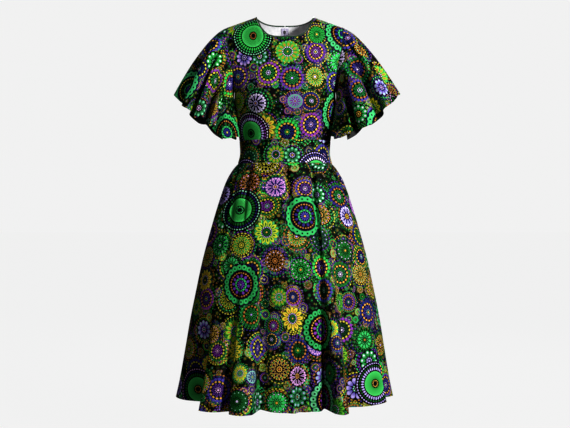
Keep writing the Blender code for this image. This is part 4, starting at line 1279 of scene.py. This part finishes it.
def cast_zinc():
    """Die-cast zinc alloy, tumbled and nickel plated: bright, a little uneven, duller in places."""
    made, tree, shader = finish_of("nickel_plated_zinc", 0.28, Metallic=1.0)
    place = add(tree, "TexCoord", (), "Object")
    wear = add(tree, "TexNoise", {"Vector": place, "Scale": 700.0, "Detail": 4.0}, 0)
    look = add(tree, "Mix", {0: wear, 6: colour("#A6A3A0"), 7: colour("#D4D1CC")}, 2, data_type="RGBA")
    tree.links.new(look, shader["Base Color"])
    tree.links.new(add(tree, "MapRange", (wear, 0.3, 0.7, 0.22, 0.42)), shader["Roughness"])
    return made


# Dressing


def slit_half(drop):
    """Half the width of the slit over the zip. Below the slider the cloth's edges nearly meet.
    They part round its lug, and further toward the neck."""
    above_slider = ease((OPENING_ROOT - drop) / OPENING_ROOT)
    half = OPENING_HALF + (OPENING_TOP_HALF - OPENING_HALF) * above_slider
    closed = ease((drop - SLIT_CLOSING[0]) / (SLIT_CLOSING[1] - SLIT_CLOSING[0]))
    return half + (SLIT_CLOSED - half) * closed


def opening_half(drop):
    """Half the gap between the two back pieces: the slit, and a plain seam below the zip."""
    return np.where(drop < ZIP_BOTTOM, slit_half(drop), HALF_GAP)


def dress_piece(piece, slot, *nodes):
    """Makes a piece ride on the dress and stand for its solids, which it hides. Its slot is not used."""
    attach(piece, BODY)
    if nodes:
        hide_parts(*nodes)
    return piece


def make_panel(node, points, creases, turn, edges, closed, wrong, flared, seed, lay=None):
    """One cloth panel in the place of its solid: creased, rolled in at its seams, with the print
    mapped along the cloth."""
    normals = grid_normals(points, closed, turn)
    lay = flattened(points, rough_lay(points, flared) if lay is None else lay)
    uv = lay + np.array([seed * 2.31, seed * 1.17])
    points = creased(points, normals, creases)
    points = seam_rolled(points, normals, edges)
    normals = grid_normals(points, closed, turn)
    if "top" in edges and not closed:
        normals[0, :, Z] = 0
        normals[0] = unit(normals[0])
    piece = cloth_piece(node + "_cloth", points, normals, uv, (PRINT, wrong), turn, closed)
    dress_piece(piece, "printed_cloth", node)
    return points, normals


PRINT = printed_crepe()
PALE_WRONG = crepe_wrong_side("crepe_wrong_side", "#F3F2F3", "#D3D4D8", 0.75)
# The sleeves' wrong side is painted near-black: painted shade for the hollows under the flutter sleeves, while
# the crepe's own wrong side is pale.
PAINTED_SHADE_SLEEVE_WRONG = crepe_wrong_side("sleeve_wrong_side_painted_shade", "#0B0F0D", "#1A221E", 0.7)
BINDING = satin_binding()
THREAD = sewing_thread()


def dress_bodice():
    """The bodice's front and two back pieces, each with its rolled neck edge."""
    panels = {}
    for node, low, high, back, creases in (
        ("bodice_front", -90, 90, False, BODICE_FRONT_CREASES),
        ("bodice_back_left", 0, 90, True, BACK_CREASES),
        ("bodice_back_right", -90, 0, True, BACK_CREASES),
    ):
        angles = bodice_columns(low, high)
        points = bodice_grid(angles, back)
        if back:
            column, sign = (0, 1) if node.endswith("left") else (-1, -1)
            points[:, column, X] = sign * opening_half(NECK_POINT_Z - points[:, column, Z])
        panels[node] = points
        turn = 1 if back else -1
        points, normals = make_panel(
            node, points, creases, turn, ("first", "last", "bottom"), False, PALE_WRONG, False,
            len(panels), bodice_lay(angles, points, back),
        )
        inside = np.abs(angles) <= neck_angle() + 1e-6
        dress_binding(node, points[:2, inside], normals[0, inside])
        stitch_edge(node + "_neck_stitches", points[:, inside], normals[:, inside], 5)
    return panels


def dress_binding(node, rows, normal):
    """A bias strip folded round the neck edge of one bodice piece: an oval section, open on the
    side of the bodice, carried along the edge. It stands off in the cloth's own plane."""
    edge, below = rows
    along = np.gradient(edge, axis=0)
    for end in (0, -1):
        along[end] = (0, 1, 0) if abs(edge[end, X]) > NECK_HALF / 2 else (1, 0, 0)
    away = unit(np.cross(along, normal))
    up = edge - below
    at_shoulder = np.abs(edge[:, X]) > NECK_HALF - 1e-4
    up[at_shoulder] = -edge[at_shoulder] * (1, 0, 0)
    away *= np.sign(np.sum(away * up, axis=1))[:, None]
    centre = edge + away * (2 * HALF_GAP + BINDING_WIDTH / 2) - normal * CLOTH_THICKNESS / 2
    wrap = np.linspace(-BINDING_WRAP_DEG, BINDING_WRAP_DEG, BINDING_STEPS + 1)
    turn = np.radians(wrap)[:, None, None]
    middle = BINDING_STEPS // 2
    half = BINDING_WIDTH / 2, BINDING_THICKNESS / 2
    ring = centre + away * np.cos(turn) * half[0] + normal * np.sin(turn) * half[1]
    out = unit(away * np.cos(turn) / half[0] + normal * np.sin(turn) / half[1])
    way = np.sign(np.sum(grid_normals(ring, False, 1)[middle] * out[middle]))
    name = node.replace("bodice", "neck_binding")
    lay = rough_lay(ring, False)
    piece = cloth_piece(
        name + "_strip", ring, out, lay, (BINDING, BINDING), way, thickness=BINDING_STRIP
    )
    dress_piece(piece, "edging", name)


def dress_tube(node, points, creases, edges, wrong, flared, seed):
    """One piece of the waistband or skirt, moved off its side seams and the centre back."""
    back = "back" in node
    points[..., Y] += HALF_GAP if back else -HALF_GAP
    if back:
        column, sign = (-1, 1) if node.endswith("left") else (0, -1)
        points[:, column, X] = sign * opening_half(NECK_POINT_Z - points[:, column, Z])
    made = make_panel(node, points, creases, -1, edges, False, wrong, flared, seed)
    return points, made


# The print's offset on the first waistband panel. Each later panel of the waistband and
# skirt adds one
FIRST_TUBE_SEED = 4


def dress_waist_and_skirt():
    """The waistband and the skirt, each a front and two back pieces."""
    panels = {}
    around = ("first", "last", "top", "bottom")
    for side, low, high, share in (
        ("front", -90, 90, 1),
        ("back_left", 90, 180, 2),
        ("back_right", 180, 270, 2),
    ):
        node = "waistband_" + side
        points = band_grid(np.linspace(low, high, BAND_COLUMNS // share + 1))
        seed = FIRST_TUBE_SEED + len(panels)
        panels[node], _ = dress_tube(node, points, BAND_CREASES, around, PALE_WRONG, False, seed)
        node = "skirt_" + side
        columns = SKIRT_FRONT_COLUMNS if side == "front" else SKIRT_BACK_COLUMNS
        points = skirt_grid(low, high, columns)
        creases = SKIRT_FRONT_CREASES if side == "front" else SKIRT_BACK_CREASES
        seed = FIRST_TUBE_SEED + len(panels)
        panels[node], made = dress_tube(node, points, creases, around[:3], PALE_WRONG, True, seed)
        stitch_edge(node + "_hem_stitches", *made, -4)
    return panels


def stitch_edge(name, points, normals, row):
    """A row of stitches along one row of a panel."""
    path = points[row] + normals[row] * STITCH_LIFT
    piece = bead_row(name, path, normals[row], STITCH_PITCH, STITCH_HALF, THREAD)
    dress_piece(piece, "edging")


def dress_sleeves():
    """Both flutter sleeves, with their hem stitches and armhole seams."""
    for seed, (side, sign) in enumerate((("left", 1), ("right", -1)), 11):
        node = "sleeve_" + side
        points = sleeve_grid(side)
        points[..., X] *= sign
        # The sleeve's wrong side takes the near-black painted shade.
        points, normals = make_panel(
            node, points, SLEEVE_CREASES, -sign, ("top",), True, PAINTED_SHADE_SLEEVE_WRONG, True, seed
        )
        stitch_edge(node + "_hem_stitches", points, normals, -3)
        sew_armhole(side, sign)


def centre_strip(panels, side):
    """The rows of one side's back pieces beside the centre line, from the neck down, each as a
    point on the centre edge and a point under the tape's outer edge."""
    turn = slice(None, None, 1 if side == "left" else -1)
    rows = list(panels["bodice_back_" + side][:, turn])
    rows += list(panels["waistband_back_" + side][:, ::-1][:, turn])
    rows += list(panels["skirt_back_" + side][:, ::-1][:, turn])
    strip = []
    for row in rows:
        near = row[:NECK_COLUMNS]
        outer = [np.interp(TAPE_OUTER_X, np.abs(near[:, X]), near[:, axis]) for axis in (Y, Z)]
        strip.append([row[0], [math.copysign(TAPE_OUTER_X, row[1, X]), *outer]])
    return np.array(strip)


def strip_at(strip, drops):
    """The strip's points at each of some drops: the ones on the centre edge, and the outer ones."""
    known = NECK_POINT_Z - strip[:, 0, Z]
    return [
        np.stack([np.interp(drops, known, strip[:, side, axis]) for axis in (X, Y, Z)], -1)
        for side in (0, 1)
    ]


def tape_edge(drop):
    """How far a tape's inner edge is from the centre line: nearly closed, and spread round the
    slider's lug in a bell curve."""
    spread = np.exp(-(((drop - SLIDER_DROP) / SLIDER_ROOM) ** 4))
    return TAPE_EDGE + (slit_half(drop) + HALF_GAP - TAPE_EDGE) * spread


def sew_armhole(side, sign):
    """The overlocked seam allowance of an armhole: an oval tube along its edge, just inside the
    cloth, closed both round its section and round the armhole."""
    ring = armhole_ring(SLEEVE_COLUMNS)[:-1]
    ring[:, X] -= OVERLOCK_INSIDE
    along = unit(np.roll(ring, -1, 0) - np.roll(ring, 1, 0))
    across = np.array([1.0, 0, 0])
    upright = unit(np.cross(across, along))[:, None]
    turn = np.radians(np.arange(0, 360, 45))[None, :, None]
    points = ring[:, None] + upright * np.cos(turn) * OVERLOCK_HALF[0]
    points = points + across * np.sin(turn) * OVERLOCK_HALF[1]
    points[..., X] *= sign
    index = np.arange(points.shape[0] * points.shape[1]).reshape(points.shape[:2])
    after, below = np.roll(index, -1, 1), np.roll(index, -1, 0)
    corners = np.stack([index, after, np.roll(below, -1, 1), below], -1).reshape(-1, 4)
    piece = new_mesh("armhole_seam_" + side, points.reshape(-1, 3), corners[:, ::sign])
    piece.data.materials.append(THREAD)
    dress_piece(piece, "edging")


def dress_zip(panels):
    """The zip: two woven tapes and a row of teeth in place of the plain ones, and metal for the
    slider, the pull tab and the bottom stop."""
    for side, sign in (("left", 1), ("right", -1)):
        strip = centre_strip(panels, side)
        drops = np.linspace(ZIP_TOP, TAPE_END, TAPE_GRID[0] + 1)
        edge, outer = strip_at(strip, drops)
        edge[:, X] = sign * tape_edge(drops)
        share = np.linspace(0, 1, TAPE_GRID[1] + 1)[None, :, None]
        points = edge[:, None] * (1 - share) + outer[:, None] * share
        normals = grid_normals(points, False, sign)
        points = points - normals * TAPE_DEPTH
        name, lay = "zip_tape_" + side, rough_lay(points, False)
        tape = cloth_piece(
            name + "_woven", points, normals, lay, (TAPE, TAPE), sign, False, TAPE_THICKNESS
        )
        dress_piece(tape, "zip_tape", name)
    drops = np.linspace(TEETH_TOP, ZIP_BOTTOM, TAPE_GRID[0] + 1)
    centre = strip_at(strip, drops)[0] * (0, 1, 1)
    out = np.cross((1.0, 0, 0), unit(np.gradient(centre, axis=0)))
    path = centre - out * TEETH_DEPTH
    teeth = bead_row("zip_teeth", path, out, TOOTH_PITCH, TOOTH_HALF, COIL, True)
    dress_piece(teeth, "zip_coil", "zip_coil")
    for node in ("zip_stop", "zip_slider", "zip_pull"):
        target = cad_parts[node]
        target.data.materials.clear()
        target.data.materials.append(METAL)


TAPE = woven_tape()
COIL = nylon_coil()
METAL = cast_zinc()


def light(name, place, target, size, watts, tint="#FFFFFF"):
    """A soft square studio light, turned toward a point of the dress."""
    lamp = bpy.data.lights.new(name, "AREA")
    lamp.size = size
    lamp.energy = watts
    lamp.color = colour(tint)[:3]
    obj = bpy.data.objects.new(name, lamp)
    obj.location = place
    way = np.array(target, float) - np.array(place, float)
    obj.rotation_euler = (math.acos(-way[2] / np.linalg.norm(way)), 0, math.atan2(-way[0], way[1]))
    bpy.context.scene.collection.objects.link(obj)
    return obj


def studio():
    """A plain pale floor that meets an equally pale surround, soft lights and the camera."""
    mesh = bpy.data.meshes.new("studio_floor")
    square = (-1, -1), (1, -1), (1, 1), (-1, 1)
    corners = [(x * FLOOR_HALF, y * FLOOR_HALF, FLOOR_Z) for x, y in square]
    mesh.from_pydata(corners, [], [(0, 1, 2, 3)])
    floor = bpy.data.objects.new("studio_floor", mesh)
    bpy.context.scene.collection.objects.link(floor)
    made, tree, shader = finish_of("painted_studio_floor", 0.9, Emission_Strength=1.0)
    shader["Base Color"].default_value = colour("#202020")
    shader["Specular IOR Level"].default_value = 0.0
    shader["Emission Color"].default_value = colour("#F3F3F3")
    floor.data.materials.append(made)
    floor.visible_diffuse = False
    floor.visible_glossy = False
    world = bpy.data.worlds.new("studio_surround")
    bpy.context.scene.world = world
    world.use_nodes = True
    tree = world.node_tree
    seen = add(tree, "LightPath", (), "Is Camera Ray")
    strength = add(tree, "MapRange", (seen, 0.0, 1.0, 0.05, 1.0))
    background = tree.nodes["Background"]
    background.inputs["Color"].default_value = colour("#F4F4F4")
    tree.links.new(strength, background.inputs["Strength"])
    for name, place, size, watts in SOFTBOXES:
        light(name, place, LIT_POINT, size, watts)
    lens = bpy.data.cameras.new("photo_camera")
    lens.sensor_width = SENSOR_MM
    lens.lens = LENS_MM
    camera = bpy.data.objects.new("photo_camera", lens)
    camera.location = CAMERA_PLACE
    camera.rotation_euler = (math.pi / 2, 0, 0)
    bpy.context.scene.collection.objects.link(camera)
    bpy.context.scene.camera = camera
    view = bpy.context.scene.view_settings
    view.view_transform = "Standard"
    view.look = "None"
    view.gamma = VIEW_GAMMA


studio()
PANELS = dress_bodice()
PANELS.update(dress_waist_and_skirt())
dress_sleeves()
dress_zip(PANELS)
